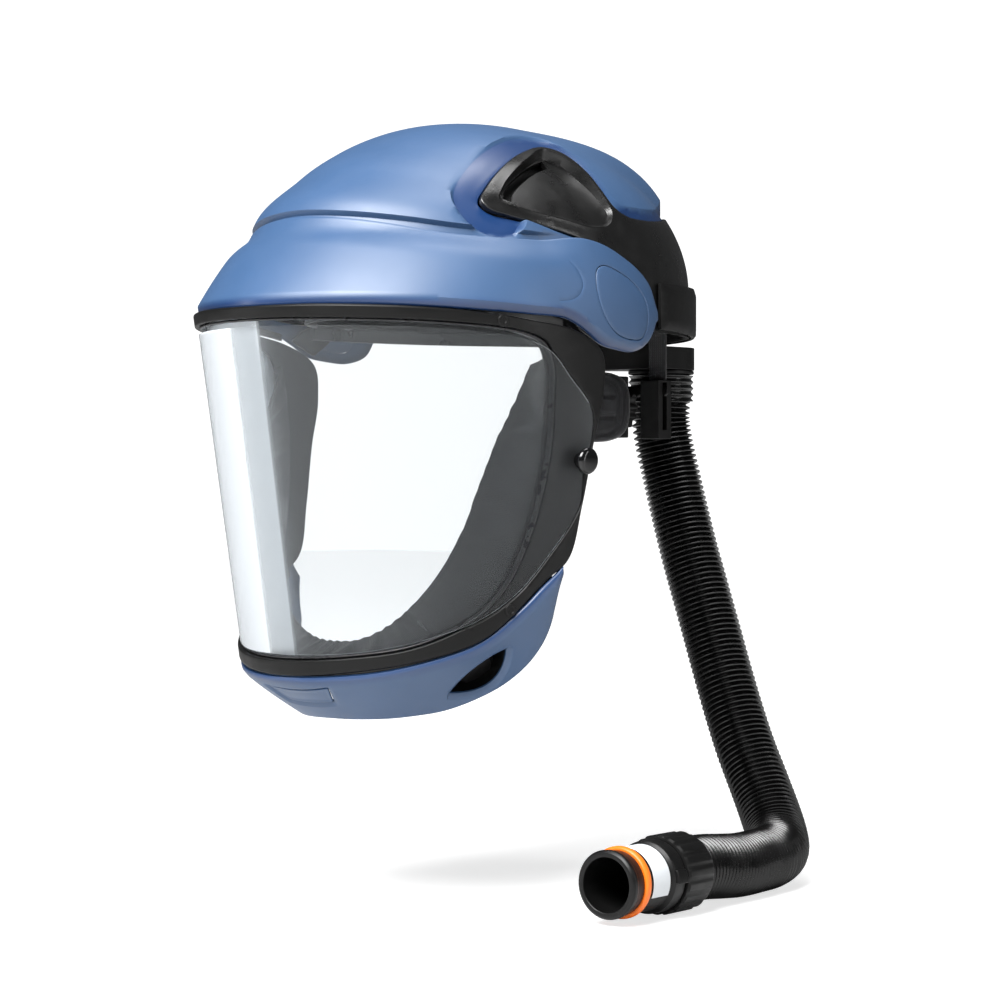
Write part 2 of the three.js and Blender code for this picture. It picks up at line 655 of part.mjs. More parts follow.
// ---------- pivots ----------
function hingeArm(name, side) {
  const outline = [[-ARM.disc, 0]];
  for (let i = 1; i < 16; i++) {
    const turn = Math.PI - (i / 16) * 1.25 * Math.PI;
    outline.push([ARM.disc * Math.cos(turn), ARM.disc * Math.sin(turn)]);
  }
  outline.push([-6, -16], [-16, -22.5], [-30, -16.2], [-32, -14]);
  const holed = shapeOf(outline);
  holed.holes.push(new THREE.Path(circlePoints(0, 0, PIVOT_R + 0.2)));
  const turn = new THREE.Matrix4().makeBasis(vec(0, 1, 0), vec(0, 0, 1), vec(1, 0, 0));
  const x = side > 0 ? ARM.x0 : -ARM.x1;
  add(`hinge_arm_${name}`, extrude(holed, ARM.x1 - ARM.x0).applyMatrix4(turn).translate(x, 0, 0), BLACK());
}

function pivotParts(name, side) {
  const pin = lathe([[0, 0], [8, 0], [8, 2.4], [PIVOT_R, 2.4], [PIVOT_R, 12.8], [0, 12.8]], 16);
  add(`pivot_pin_${name}`, pin.rotateY(side * Math.PI / 2).translate(side * 91, 0, 0), STEEL());
  const washer = tube(12, PIVOT_R + GAP, 0, 2, 20);
  add(`friction_washer_${name}`, washer.rotateY(side * Math.PI / 2).translate(side * 99, 0, 0), PALE());
}

// ---------- face seal ----------
const SEAL_OUT = [
  [79, -46], [77.5, -66], [74, -92], [68, -118], [61, -140], [48, -158], [32, -168.5], [14, -173], [0, -174],
];
const SEAL_IN = [
  [88, -64, -54], [82, -70, -72], [77, -76, -92], [70, -81, -115], [60, -87, -136], [46, -92, -153],
  [30, -96, -165], [14, -98.5, -171], [0, -99, -172],
];

function sealCurve(points) {
  const half = points.map((p) => vec(...p));
  const other = half.slice(0, -1).reverse().map((p) => vec(-p.x, p.y, p.z));
  return new THREE.CatmullRomCurve3([...half, ...other], false, 'centripetal');
}

function faceSeal() {
  const offset = -FRAME_WALL - LENS_WALL - 3.6;
  const outerEdge = sealCurve(SEAL_OUT.map(([a, z]) => ringPoint(a, z, offset).toArray()));
  const innerEdge = sealCurve(SEAL_IN);
  const surface = (u, v) => outerEdge.getPoint(u).lerp(innerEdge.getPoint(u), v);
  add('face_seal', shell(surface, 32, 2, 1.4, vec(0, -60, -60)), FABRIC());
}

// ---------- harness ----------
function harness() {
  const flat = (z) => () => z;
  add('headband', plateBand(79, 99, -1, -112, 112, flat(-8), flat(14), 2, 40), BLACK());
  add('sweatband', plateBand(76.6, 96.6, -1, -58, 58, flat(-11), flat(16), 3.4, 24), FABRIC());
  const arch = (reach, height, turn) => (u, v) => {
    const t = rad(mix(-84, 84, u));
    return vec(reach * Math.sin(t), mix(-10, 10, v), 14 + height * Math.cos(t)).applyAxisAngle(vec(0, 0, 1), turn);
  };
  add('crown_strap', shell(arch(79.4, 60, 0), 28, 1, 1.6, vec(0, 0, 0)), FABRIC());
  eachSide((name, side) => {
    const bar = new THREE.BoxGeometry(3.4, 14, 8).translate(side * 81.4, 0, 3);
    add(`harness_clip_${name}`, bar, BLACK());
    const hanger = new THREE.BoxGeometry(12, 1.6, 27.4).translate(side * NAPE.clip, NAPE.y + 3, -21.9);
    add(`nape_strap_${name}`, hanger, FABRIC());
    const body = new THREE.BoxGeometry(13, 11, 32).translate(side * NAPE.clip, NAPE.y + 1.2, NAPE.z - 2);
    const slot = new THREE.BoxGeometry(40, 3.6, 26).translate(side * NAPE.clip, NAPE.y + 1.2, NAPE.z);
    add(`nape_clip_${name}`, cut(body, slot), BLACK());
    const reach = { in: -side * 13, out: side * (NAPE.clip + 9) };
    const middle = (reach.in + reach.out) / 2;
    const rackZ = NAPE.z + side * (NAPE.pinion + GAP + 3);
    const rack = new THREE.BoxGeometry(Math.abs(reach.out - reach.in), 2.4, 6);
    add(`nape_rack_${name}`, rack.translate(middle, NAPE.y + 1.2, rackZ), BLACK());
  });
  ratchet();
}

// Round outline with grip flutes.
function fluted(radius, depth, lobes) {
  const count = lobes * 4;
  const points = Array.from({ length: count }, (_, i) => {
    const turn = (i / count) * 2 * Math.PI;
    const r = radius - (depth / 2) * (1 - Math.cos(turn * lobes));
    return [r * Math.cos(turn), r * Math.sin(turn)];
  });
  return shapeOf(points);
}

function ratchet() {
  const box = new THREE.BoxGeometry(34, 7, 34).translate(0, NAPE.y + 1.3, NAPE.z);
  const channel = new THREE.BoxGeometry(60, 3.4, 24).translate(0, NAPE.y + 1.2, NAPE.z);
  const bore = disc(3.4, -10, 10, 20).rotateX(Math.PI / 2).translate(0, NAPE.y + 5, NAPE.z);
  add('ratchet_housing', cut(box, channel, bore), BLACK());
  const shaft = lathe([
    [0, 0], [NAPE.pinion, 0], [NAPE.pinion, 2.4], [3, 2.4], [3, 6.6], [0, 6.6],
  ], 20);
  add('ratchet_pinion', shaft.rotateX(-Math.PI / 2).translate(0, NAPE.y, NAPE.z), BLACK());
  const knob = extrude(fluted(15, 1.6, 16), 9);
  add('ratchet_knob', knob.rotateX(-Math.PI / 2).translate(0, NAPE.y + 7, NAPE.z), SATIN_BLACK());
  const pad = new THREE.BoxGeometry(58, 9, 44, 1, 1, 1).translate(0, NAPE.y - 7.4, NAPE.z);
  add('nape_pad', pad, FABRIC());
}

// ---------- hose and connector ----------
// Centre line of the hose, from the nape to the connector on the table.
const HOSE_ROUTE = [
  [8, 151.5, -46], [8, 151.5, -58], [9.5, 152.5, -70], [13, 153.8, -86], [19, 154, -107], [27, 153, -130],
  [36, 151.4, -152], [45.5, 149.5, -174.5], [55, 147, -196], [65.5, 144, -218], [76, 140.6, -237],
  [88, 136.6, -255], [99, 131.5, -269.5], [109, 124.5, -280.5], [117.5, 114.5, -287],
  [122.8, 100, -289.3], [126.6, 82, -289.5], [130, 62, -289.3], [132.3, 45, -288],
  [134.05, 27.6, -286.5], [135.53, 11.7, -286.2],
];
const PLUG_AXIS = vec(Math.sin(rad(PLUG.turn)), Math.cos(rad(PLUG.turn)), 0);

function hoseParts() {
  const route = new THREE.CatmullRomCurve3(HOSE_ROUTE.map((p) => vec(...p)), false, 'centripetal');
  const section = new THREE.Shape(circlePoints(0, 0, HOSE_R, HOSE_R, 12));
  const hose = new THREE.ExtrudeGeometry(section, { steps: 30, extrudePath: route, bevelEnabled: false });
  add('hose', hose, RUBBER());
  const top = vec(...HOSE_ROUTE[0]);
  const socket = [[13, 3], [15.2, 3], [15.2, 15], [18.6, 15.6], [18.6, 17.4], [13, 17.4]];
  add('inlet_socket', lathe(socket, 24).translate(top.x, top.y, top.z), BLACK());
  const cuff = tube(18.4, 15.2 + GAP, GAP, 15 - GAP, 24);
  add('hose_cuff', cuff.translate(top.x, top.y, top.z), RUBBER());
  inletElbow(top);
}

// Flat elbow under the rear band: air comes up the socket, forwards, and up through the plate.
function inletElbow(top) {
  const low = top.z + 17.8;
  const outline = [
    ...Array.from({ length: 13 }, (_, i) => {
      const turn = Math.PI * (i / 12);
      return [top.x + 19 * Math.cos(turn), top.y + 19 * Math.sin(turn)];
    }),
    [-27, 134], [-27, 125], [27, 125], [27, 134],
  ];
  const body = extrude(shapeOf(outline), -15.6 - low).translate(0, 0, low);
  const neck = new THREE.BoxGeometry(44, 5.4, 12).translate(0, 128.1, -13.9);
  const well = disc(13, low - 1, -18.4, 24).translate(top.x, top.y, 0);
  const way = new THREE.BoxGeometry(25, 24, 6).translate(top.x, 138.6, -21.4);
  const rise = new THREE.BoxGeometry(36, 3, 20).translate(0, 128.1, -14.4);
  add('inlet_elbow', cut(join(body, neck), well, way, rise), BLACK());
}

function connector() {
  const group = new THREE.Group();
  group.position.set(...PLUG.mouth);
  group.quaternion.setFromUnitVectors(vec(0, 0, 1), PLUG_AXIS);
  model.add(group);
  const { bore, tube: pipe, lip, body } = PLUG;
  const tail = lathe([
    [bore, 0], [pipe - 0.4, 0], [lip, 1.2], [lip, 3.4], [pipe, 4.6], [pipe, 10],
    [pipe - 1.2, 10], [pipe - 1.2, 15], [pipe, 15], [pipe, 33], [body, 34.4], [body, 43],
    [pipe - 0.6, 43.6], [pipe - 0.6, PLUG_LENGTH - GAP], [bore, PLUG_LENGTH - GAP],
  ], 20);
  const lug = (side) => new THREE.BoxGeometry(6, 3.4, 8).translate(0, side * (body + 0.9), 38.6);
  add('connector_tail', join(tail, lug(1), lug(-1)), SATIN_BLACK(), group);
  const ring = lathe([
    [pipe - 0.85, 10.4], [pipe + 0.9, 10.4], [pipe + 1.7, 11.4], [pipe + 1.7, 13.6], [pipe + 0.9, 14.6],
    [pipe - 0.85, 14.6],
  ], 20);
  add('o_ring', ring, ORANGE(), group);
  add('label_band', tube(pipe + 0.9, pipe + GAP, 16.6, 32, 24), PALE(), group);
  const collar = fluted(COLLAR_R, 1.1, 18);
  collar.holes.push(new THREE.Path(circlePoints(0, 0, pipe, pipe, 24)));
  add('lock_collar', extrude(collar, PLUG_LENGTH - 44.6 - GAP).translate(0, 0, 44.2), BLACK(), group);
}

// ---------- assembly ----------
helmet();
browParts();
visorFrameParts();
chinParts();
faceSeal();
eachSide(hingeArm);
eachSide(pivotParts);
eachSide((name, side) => filmPeg(`film_peg_${name}`, side));
eachSide(exhaleValve);
frameScrews();
harness();
hoseParts();
connector();

export default model;
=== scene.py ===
"""Looks of a powered air respirator headtop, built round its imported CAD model."""
import math

import bpy
import numpy as np
from mathutils import Matrix, Vector
from mathutils.geometry import delaunay_2d_cdt


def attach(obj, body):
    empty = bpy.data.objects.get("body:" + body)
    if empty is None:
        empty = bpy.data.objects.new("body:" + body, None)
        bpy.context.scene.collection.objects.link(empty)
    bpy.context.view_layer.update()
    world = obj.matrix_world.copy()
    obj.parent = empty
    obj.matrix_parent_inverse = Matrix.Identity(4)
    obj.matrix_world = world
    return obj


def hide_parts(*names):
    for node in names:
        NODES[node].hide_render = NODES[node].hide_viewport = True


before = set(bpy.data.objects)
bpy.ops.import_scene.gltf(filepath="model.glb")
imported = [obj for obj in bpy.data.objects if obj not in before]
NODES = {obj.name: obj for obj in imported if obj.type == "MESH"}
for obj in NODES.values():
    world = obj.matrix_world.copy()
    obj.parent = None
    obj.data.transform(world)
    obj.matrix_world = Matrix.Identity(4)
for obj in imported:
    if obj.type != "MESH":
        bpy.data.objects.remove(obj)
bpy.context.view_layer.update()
MM = 0.001
GAP = 0.35
TABLE_Z = -306.0
SIDES = (("left", 1), ("right", -1))


# ---------- camera, light and floor ----------
def camera():
    """Level camera at the height of the mouth, 42 degrees towards the wearer's left."""
    turn, distance, aside, height = math.radians(42), 1.5, 0.0159, -0.096
    ahead = Vector((-math.sin(turn), math.cos(turn), 0))
    right = Vector((math.cos(turn), math.sin(turn), 0))
    data = bpy.data.cameras.new("camera")
    data.lens, data.sensor_width, data.shift_y = 101.9, 36, -0.01
    data.clip_end = 20
    cam = bpy.data.objects.new("camera", data)
    cam.location = right * aside - ahead * distance + Vector((0, 0, height))
    cam.rotation_euler = (math.pi / 2, 0, turn)
    bpy.context.scene.collection.objects.link(cam)
    bpy.context.scene.camera = cam


def lamp(name, place, target, size, watts):
    data = bpy.data.lights.new(name, "AREA")
    data.shape, data.size, data.size_y = "RECTANGLE", *size
    data.energy = watts
    light = bpy.data.objects.new(name, data)
    light.location = place
    light.rotation_euler = (Vector(target) - Vector(place)).to_track_quat("-Z", "Y").to_euler()
    bpy.context.scene.collection.objects.link(light)


def add_node(tree, kind, **values):
    """A new shader node. Values name its settings, or its inputs with _ for a space."""
    node = tree.nodes.new("ShaderNode" + kind)
    for key, value in values.items():
        if hasattr(node, key):
            setattr(node, key, value)
        else:
            node.inputs[key.replace("_", " ")].default_value = value
    return node


def studio():
    """White surroundings: the backdrop is seen bright, and lights the object softly."""
    world = bpy.data.worlds.new("studio")
    world.use_nodes = True
    tree, link = world.node_tree, world.node_tree.links.new
    soft = tree.nodes["Background"]
    soft.inputs["Color"].default_value = (0.97, 0.985, 1, 1)
    soft.inputs["Strength"].default_value = 0.09
    seen = add_node(tree, "Background", Color=(1, 1, 1, 1), Strength=1.2)
    mix = add_node(tree, "MixShader")
    link(add_node(tree, "LightPath").outputs["Is Camera Ray"], mix.inputs["Fac"])
    link(soft.outputs["Background"], mix.inputs[1])
    link(seen.outputs["Background"], mix.inputs[2])
    link(mix.outputs["Shader"], tree.nodes["World Output"].inputs["Surface"])
    bpy.context.scene.world = world
    bpy.context.scene.view_settings.view_transform = "Standard"
    lamp("key", (0.4, -1.42, 1.45), (0, -0.1, 0.05), (1.5, 1.2), 145)
    lamp("top", (0.15, 0.3, 1.5), (0, 0, 0), (0.5, 0.8), 10)
    lamp("side", (1.75, 0.75, 0.35), (0.05, 0.1, -0.15), (0.25, 1.3), 8)
    lamp("front", (-1.2, -1.3, 0.0), (0.05, 0, -0.15), (0.15, 1.2), 5)


def floor():
    """Pale floor under the object that fades to white with distance."""
    far, z = 6.0, TABLE_Z * MM - 0.0004
    mesh = bpy.data.meshes.new("floor")
    mesh.from_pydata([(-far, -far, z), (far, -far, z), (far, far, z), (-far, far, z)], [], [(0, 1, 2, 3)])
    ground = bpy.data.objects.new("floor", mesh)
    bpy.context.scene.collection.objects.link(ground)
    look = Look("floor", (0.55, 0.55, 0.55, 1), 0.45, Emission_Color=(1, 1, 1, 1))
    reach = look.node("VectorMath", operation="LENGTH")
    look.link(look.node("TexCoord").outputs["Object"], reach.inputs[0])
    fade = look.ranged(reach.outputs["Value"], 0.7, 1.0, 0.4, 1.8)
    share = look.ranged(look.node("LightPath").outputs["Is Camera Ray"], 0.1, 1, 0, 1)
    look.link(look.combine(share, fade, "MULTIPLY"), look.shader.inputs["Emission Strength"])
    mesh.materials.append(look.mat)


# ---------- curves ----------
class Curve:
    """Centripetal Catmull-Rom curve through points of any dimension."""

    def __init__(self, points, closed=False):
        p = np.asarray(points, float)
        self.count = len(p) if closed else len(p) - 1
        if closed:
            before, after = np.roll(p, 1, 0), np.roll(p, -1, 0)
            p0, p1, p2, p3 = before, p, after, np.roll(p, -2, 0)
        else:
            ext = np.vstack([2 * p[0] - p[1], p, 2 * p[-1] - p[-2]])
            p0, p1, p2, p3 = ext[:-3], ext[1:-2], ext[2:-1], ext[3:]
        gap = [np.sqrt(np.linalg.norm(b - a, axis=1))[:, None] for a, b in ((p0, p1), (p1, p2), (p2, p3))]
        t1 = ((p1 - p0) / gap[0] - (p2 - p0) / (gap[0] + gap[1]) + (p2 - p1) / gap[1]) * gap[1]
        t2 = ((p2 - p1) / gap[1] - (p3 - p1) / (gap[1] + gap[2]) + (p3 - p2) / gap[2]) * gap[1]
        self.parts = (p1, t1, -3 * p1 + 3 * p2 - 2 * t1 - t2, 2 * p1 - 2 * p2 + t1 + t2)

    def __call__(self, t):
        x = np.clip(np.asarray(t, float), 0, 1) * self.count
        i = np.minimum(x.astype(int), self.count - 1)
        w = (x - i)[..., None]
        a, b, c, d = (part[i] for part in self.parts)
        return a + w * (b + w * (c + w * d))


def travel(p):
    """Length along a polyline up to each of its points."""
    return np.concatenate([[0], np.cumsum(np.linalg.norm(np.diff(p, axis=0), axis=1))])


def even(points, gap, closed=False):
    """The polyline through points, resampled about every gap."""
    p = np.asarray(points, float)
    if closed:
        p = np.vstack([p, p[:1]])
    s = travel(p)
    n = max(int(round(s[-1] / gap)), 3)
    at = np.linspace(0, s[-1], n + 1)
    out = np.stack([np.interp(at, s, p[:, k]) for k in range(p.shape[1])], 1)
    return out[:-1] if closed else out


def smooth_line(points, gap, closed=False):
    fine = Curve(points, closed)(np.linspace(0, 1, 1200, endpoint=not closed))
    return even(fine, gap, closed)


def smoothstep(x, low, high):
    t = np.clip((x - low) / (high - low), 0, 1)
    return t * t * (3 - 2 * t)


def inside(loop, p):
    """Which of the flat points p lie within a closed loop."""
    loop = np.asarray(loop)
    odd = np.zeros(len(p), bool)
    for (x0, y0), (x1, y1) in zip(loop, np.roll(loop, -1, 0)):
        if y0 == y1:
            continue
        cross = (y0 > p[:, 1]) != (y1 > p[:, 1])
        odd ^= cross & (p[:, 0] < (x1 - x0) * (p[:, 1] - y0) / (y1 - y0) + x0)
    return odd


def far_from(p, line, closed=False):
    """Distance from each point of p to a polyline, of any dimension."""
    a = np.asarray(line, float)
    b = np.roll(a, -1, 0) if closed else a[1:]
    a = a if closed else a[:-1]
    best = np.full(len(p), 1e9)
    d = b - a
    dd = np.maximum((d * d).sum(1), 1e-12)
    for k in range(0, len(p), 4000):
        q = p[k:k + 4000]
        t = np.clip(((q[:, None, :] - a[None]) * d[None]).sum(2) / dd[None], 0, 1)
        best[k:k + 4000] = np.linalg.norm(q[:, None, :] - a[None] - t[..., None] * d[None], axis=2).min(1)
    return best


# ---------- surfaces: flat coordinates, about millimetres, to points ----------
class Surface:
    """A smooth surface over flat coordinates. middle is a point on its inner side."""

    def __init__(self, point, middle):
        self.point, self.middle = point, np.asarray(middle, float)

    def normal(self, q):
        h = 0.02
        ex, ey = np.array([h, 0.0]), np.array([0.0, h])
        n = np.cross(self.point(q + ex) - self.point(q - ex), self.point(q + ey) - self.point(q - ey))
        n /= np.maximum(np.linalg.norm(n, axis=1), 1e-12)[:, None]
        flip = ((self.point(q) - self.middle) * n).sum(1) < 0
        return np.where(flip[:, None], -n, n)

    def shift(self, line, distance, closed=False):
        """Moves a flat line sideways along the surface by millimetres, to its right if positive."""
        q = np.asarray(line, float)
        if closed:
            along = np.roll(q, -1, 0) - np.roll(q, 1, 0)
        else:
            along = np.gradient(q, axis=0)
        side = np.stack([along[:, 1], -along[:, 0]], 1)
        side /= np.maximum(np.linalg.norm(side, axis=1), 1e-12)[:, None]
        h = 0.05
        stretch = np.linalg.norm(self.point(q + side * h) - self.point(q - side * h), axis=1) / (2 * h)
        return q + side * (distance / np.maximum(stretch, 0.2))[:, None]


def flat_mesh(loop, holes, lines, spacing):
    """Triangles of the region within loop and outside holes, with edges along every line."""
    rings = [np.asarray(loop)] + [np.asarray(h) for h in holes]
    points, edges, starts = [], [], 0
    for ring in rings:
        n = len(ring)
        points.append(ring)
        edges += [(starts + i, starts + (i + 1) % n) for i in range(n)]
        starts += n
    for line in lines:
        n = len(line)
        points.append(np.asarray(line))
        edges += [(starts + i, starts + i + 1) for i in range(n - 1)]
        starts += n
    low, high = rings[0].min(0), rings[0].max(0)
    rows = np.arange(low[1], high[1], spacing * 0.866)
    grid = np.array([(x + (spacing / 2) * (j % 2), y) for j, y in enumerate(rows)
                     for x in np.arange(low[0], high[0], spacing)])
    free = inside(rings[0], grid)
    for hole in rings[1:]:
        free &= ~inside(hole, grid)
    grid = grid[free]
    near = np.full(len(grid), 1e9)
    for ring in rings:
        near = np.minimum(near, far_from(grid, ring, True))
    for line in lines:
        near = np.minimum(near, far_from(grid, line))
    points.append(grid[near > 0.5 * spacing])
    flat = [Vector(p) for p in np.vstack(points)]
    verts, _, faces, *_ = delaunay_2d_cdt(flat, edges, [], 0, 1e-5, False)
    q = np.array([tuple(v) for v in verts])
    f = np.array([tuple(face) for face in faces])
    centre = q[f].mean(1)
    good = inside(rings[0], centre)
    for hole in rings[1:]:
        good &= ~inside(hole, centre)
    f = f[good]
    a, b, c = q[f[:, 0]], q[f[:, 1]], q[f[:, 2]]
    area = (b[:, 0] - a[:, 0]) * (c[:, 1] - a[:, 1]) - (b[:, 1] - a[:, 1]) * (c[:, 0] - a[:, 0])
    f = np.where((area < 0)[:, None], f[:, ::-1], f)
    used, back = np.unique(f, return_inverse=True)
    return q[used], back.reshape(f.shape)


# ---------- meshes ----------
def new_piece(name, points, faces, paint, sharp=35, flat=None, tint_and_painted_shade=None):
    """An object from points in millimetres. flat becomes its UV map, and the weights of painted shade become
    a point attribute.
    """
    mesh = bpy.data.meshes.new(name)
    points = [tuple(p) for p in np.asarray(points) * MM]
    mesh.from_pydata(points, [], [tuple(int(i) for i in f) for f in faces])
    mesh.validate()
    mesh.polygons.foreach_set("use_smooth", [True] * len(mesh.polygons))
    mesh.set_sharp_from_angle(angle=math.radians(sharp))
    piece = bpy.data.objects.new(name, mesh)
    bpy.context.scene.collection.objects.link(piece)
    mesh.materials.append(paint)
    if flat is not None:
        layer = mesh.uv_layers.new(name="flat")
        corner = np.empty(len(mesh.loops), int)
        mesh.loops.foreach_get("vertex_index", corner)
        layer.data.foreach_set("uv", np.asarray(flat)[corner].ravel())
    if tint_and_painted_shade is not None:
        mesh.attributes.new("tint_and_painted_shade", "FLOAT", "POINT").data.foreach_set("value", np.asarray(tint_and_painted_shade, float))
    mesh.update()
    return piece


def patch(name, surface, flat, height, depth, paint, sharp=35, tint_and_painted_shade=None):
    """Closed shell over a flat mesh: outer face raised by height, inner face sunk by depth."""
    q, f = flat
    p, n = surface.point(q), surface.normal(q)
    outer = p + n * np.broadcast_to(height, len(q))[:, None]
    inner = p - n * np.broadcast_to(depth, len(q))[:, None]
    tri = p[f]
    facing = (np.cross(tri[:, 1] - tri[:, 0], tri[:, 2] - tri[:, 0]) * n[f[:, 0]]).sum()
    if facing < 0:
        f = f[:, ::-1]
    pairs = np.vstack([f[:, [0, 1]], f[:, [1, 2]], f[:, [2, 0]]])
    twice = {(b, a) for a, b in map(tuple, pairs)}
    rim = [(a, b) for a, b in map(tuple, pairs) if (a, b) not in twice]
    shift = len(q)
    faces = [tuple(t) for t in f] + [tuple(t[::-1] + shift) for t in f]
    faces += [(b, a, a + shift, b + shift) for a, b in rim]
    if tint_and_painted_shade is not None:
        tint_and_painted_shade = np.concatenate([tint_and_painted_shade, 0 * tint_and_painted_shade])
    return new_piece(name, np.vstack([outer, inner]), faces, paint, sharp, np.vstack([q, q]), tint_and_painted_shade)


def round_drop(d, r):
    """How far a rounded edge of radius r lies below the face at distance d from the edge."""
    k = np.clip(d, 0, r)
    return r - np.sqrt(np.maximum(r * r - (r - k) ** 2, 0))


ROUND_LINES = (0.13, 0.5, 1.0)


def grow(surface, loop, distance):
    """A closed flat loop moved outwards along its surface, by millimetres."""
    return surface.shift(loop, winding(loop) * distance, True)


def ridges(surface, loop, steps):
    """Closed lines beside a loop, each moved outwards by one of the steps."""
    return [close(grow(surface, loop, k)) for k in steps]


def cut(surface, loop, holes, lines, spacing):
    """Flat mesh of a loop with holes and lines in it, and its points on the surface."""
    flat = flat_mesh(loop, holes, clipped(lines, loop, holes), spacing)
    return flat, surface.point(flat[0])


def eased(p, surface, loop, radius):
    """How far a rounded edge along a closed flat loop lies below the face at points p."""
    return round_drop(far_from(p, surface.point(loop), True), radius)


def tube_faces(rows, count, closed=False):
    """Quads between rows of count points that run round; closed joins the last row to the first."""
    out = []
    for j in range(rows if closed else rows - 1):
        a, b = j * count, (j + 1) % rows * count
        out += [(a + i, a + (i + 1) % count, b + (i + 1) % count, b + i) for i in range(count)]
    return out


def close(loop):
    return np.vstack([loop, loop[:1]])


def mirrored(line):
    """A flat line's mirror image, run backwards."""
    return line[::-1] * (-1, 1)


def winding(loop):
    x, y = np.asarray(loop).T
    return np.sign((x * np.roll(y, -1) - np.roll(x, -1) * y).sum())


# ---------- materials ----------
def linear(*srgb):
    """Linear colour of an sRGB one, given in 255ths."""
    scaled = (v / 255 for v in srgb)
    return tuple(((c + 0.055) / 1.055) ** 2.4 if c > 0.04045 else c / 12.92 for c in scaled) + (1,)


class Look:
    """A Principled material with helpers that wire procedural detail into it."""

    def __init__(self, name, color, rough, **sockets):
        self.mat = bpy.data.materials.new(name)
        self.mat.use_nodes = True
        self.tree = self.mat.node_tree
        self.link = self.tree.links.new
        self.shader = self.tree.nodes["Principled BSDF"]
        self.color, self.rough, self.bump_out = color, rough, None
        for key, value in dict(Base_Color=color, Roughness=rough, **sockets).items():
            self.shader.inputs[key.replace("_", " ")].default_value = value

    def node(self, kind, **values):
        return add_node(self.tree, kind, **values)

    def noise(self, scale, detail=2.0):
        n = self.node("TexNoise", Scale=scale, Detail=detail)
        self.link(self.node("TexCoord").outputs["Object"], n.inputs["Vector"])
        return n.outputs["Fac"]

    def ranged(self, source, low, high, start=0.3, end=0.7):
        m = self.node("MapRange", From_Min=start, From_Max=end, To_Min=low, To_Max=high)
        self.link(source, m.inputs["Value"])
        return m.outputs["Result"]

    def combine(self, first, second, operation="ADD"):
        m = self.node("Math", operation=operation)
        self.link(first, m.inputs[0])
        self.link(second, m.inputs[1])
        return m.outputs["Value"]

    def blend(self, factor, first, second):
        """Base colour that goes from first, a colour or a socket, to the colour second."""
        mix = self.node("Mix", data_type="RGBA")
        a, b = (s for s in mix.inputs if s.type == "RGBA")
        self.link(factor, mix.inputs["Factor"])
        if isinstance(first, tuple):
            a.default_value = first
        else:
            self.link(first, a)
        b.default_value = second
        self.link(next(s for s in mix.outputs if s.type == "RGBA"), self.shader.inputs["Base Color"])

    def vary_color(self, source, other, start=0.35, end=0.65):
        self.blend(self.ranged(source, 0, 1, start, end), self.color, other)

    def vary_rough(self, source, spread):
        rough = self.ranged(source, self.rough - spread, self.rough + spread)
        self.link(rough, self.shader.inputs["Roughness"])

    def bump(self, source, height):
        b = self.node("Bump", Strength=1.0, Distance=height)
        self.link(source, b.inputs["Height"])
        if self.bump_out is not None:
            self.link(self.bump_out, b.inputs["Normal"])
        self.bump_out = b.outputs["Normal"]
        self.link(self.bump_out, self.shader.inputs["Normal"])


def dim(color, k):
    return tuple(c * k for c in color[:3]) + (1,)


def plastic(name, color, rough, spread, grain=0.0004, depth=0.00001, mottle=0.88, **sockets):
    look = Look(name, color, rough, **sockets)
    look.vary_color(look.noise(18, 3), dim(color, mottle))
    look.vary_rough(look.noise(70, 4), spread)
    look.bump(look.noise(1 / grain, 2), depth)
    return look


# Deeper blue blended into the satin paint as painted shade.
PAINTED_SHADE_BLUE = linear(5, 42, 86)


def blue_paint():
    """Satin blue that turns deeper and glossier where a piece's point attribute is 1; the deeper blue is
    painted shade.
    """
    look = Look("blue_satin", linear(44, 74, 110), 0.5, Specular_IOR_Level=0.7, Coat_Weight=0.2,
                Coat_Roughness=0.4)
    look.vary_color(look.noise(18, 3), dim(look.color, 0.92))
    look.bump(look.noise(2000, 2), 0.000006)
    tint_and_painted_shade = look.node("Attribute", attribute_name="tint_and_painted_shade").outputs["Fac"]
    look.blend(tint_and_painted_shade, look.shader.inputs["Base Color"].links[0].from_socket, PAINTED_SHADE_BLUE)
    rough = look.combine(look.ranged(look.noise(70, 4), -0.03, 0.03), look.ranged(tint_and_painted_shade, 0.5, 0.36, 0, 1))
    look.link(rough, look.shader.inputs["Roughness"])
    return look.mat


BLUE = blue_paint()
SATIN_BLACK = plastic("black_satin", linear(12, 12, 12), 0.4, 0.06, 0.0006, 0.00002, 0.75,
                      Specular_IOR_Level=0.28).mat
GRAIN_BLACK = plastic("black_grained", linear(13, 13, 13), 0.31, 0.08, 0.0009, 0.00007, 0.7,
                      Specular_IOR_Level=0.55).mat
MATTE_BLACK = plastic("black_matte", linear(12, 12, 12), 0.44, 0.06, 0.0007, 0.00002, 0.75,
                      Specular_IOR_Level=0.22).mat
GLOSS_BLACK = plastic("black_gloss", linear(10, 10, 11), 0.13, 0.04, 0.004, 0.00001, 0.8).mat
RUBBER = plastic("black_rubber", linear(18, 18, 19), 0.4, 0.08, 0.001, 0.00002, 0.75).mat
HOSE_BLACK = plastic("hose_black", linear(9, 9, 9), 0.24, 0.07, 0.002, 0.00002, 0.75,
                     Specular_IOR_Level=0.42).mat
GASKET = plastic("gasket", linear(46, 46, 48), 0.3, 0.05).mat
ORANGE = plastic("orange_rubber", linear(238, 112, 20), 0.4, 0.06, 0.0012, 0.00002, 0.9).mat
PALE = plastic("pale_label", linear(206, 210, 213), 0.45, 0.06, 0.001, 0.00001, 0.95).mat
STEEL = plastic("steel", linear(190, 192, 195), 0.26, 0.06, 0.0006, 0.00001, 0.92, Metallic=1.0).mat

THREAD = plastic("thread", linear(52, 52, 55), 0.7, 0.05, 0.0003, 0.00002).mat


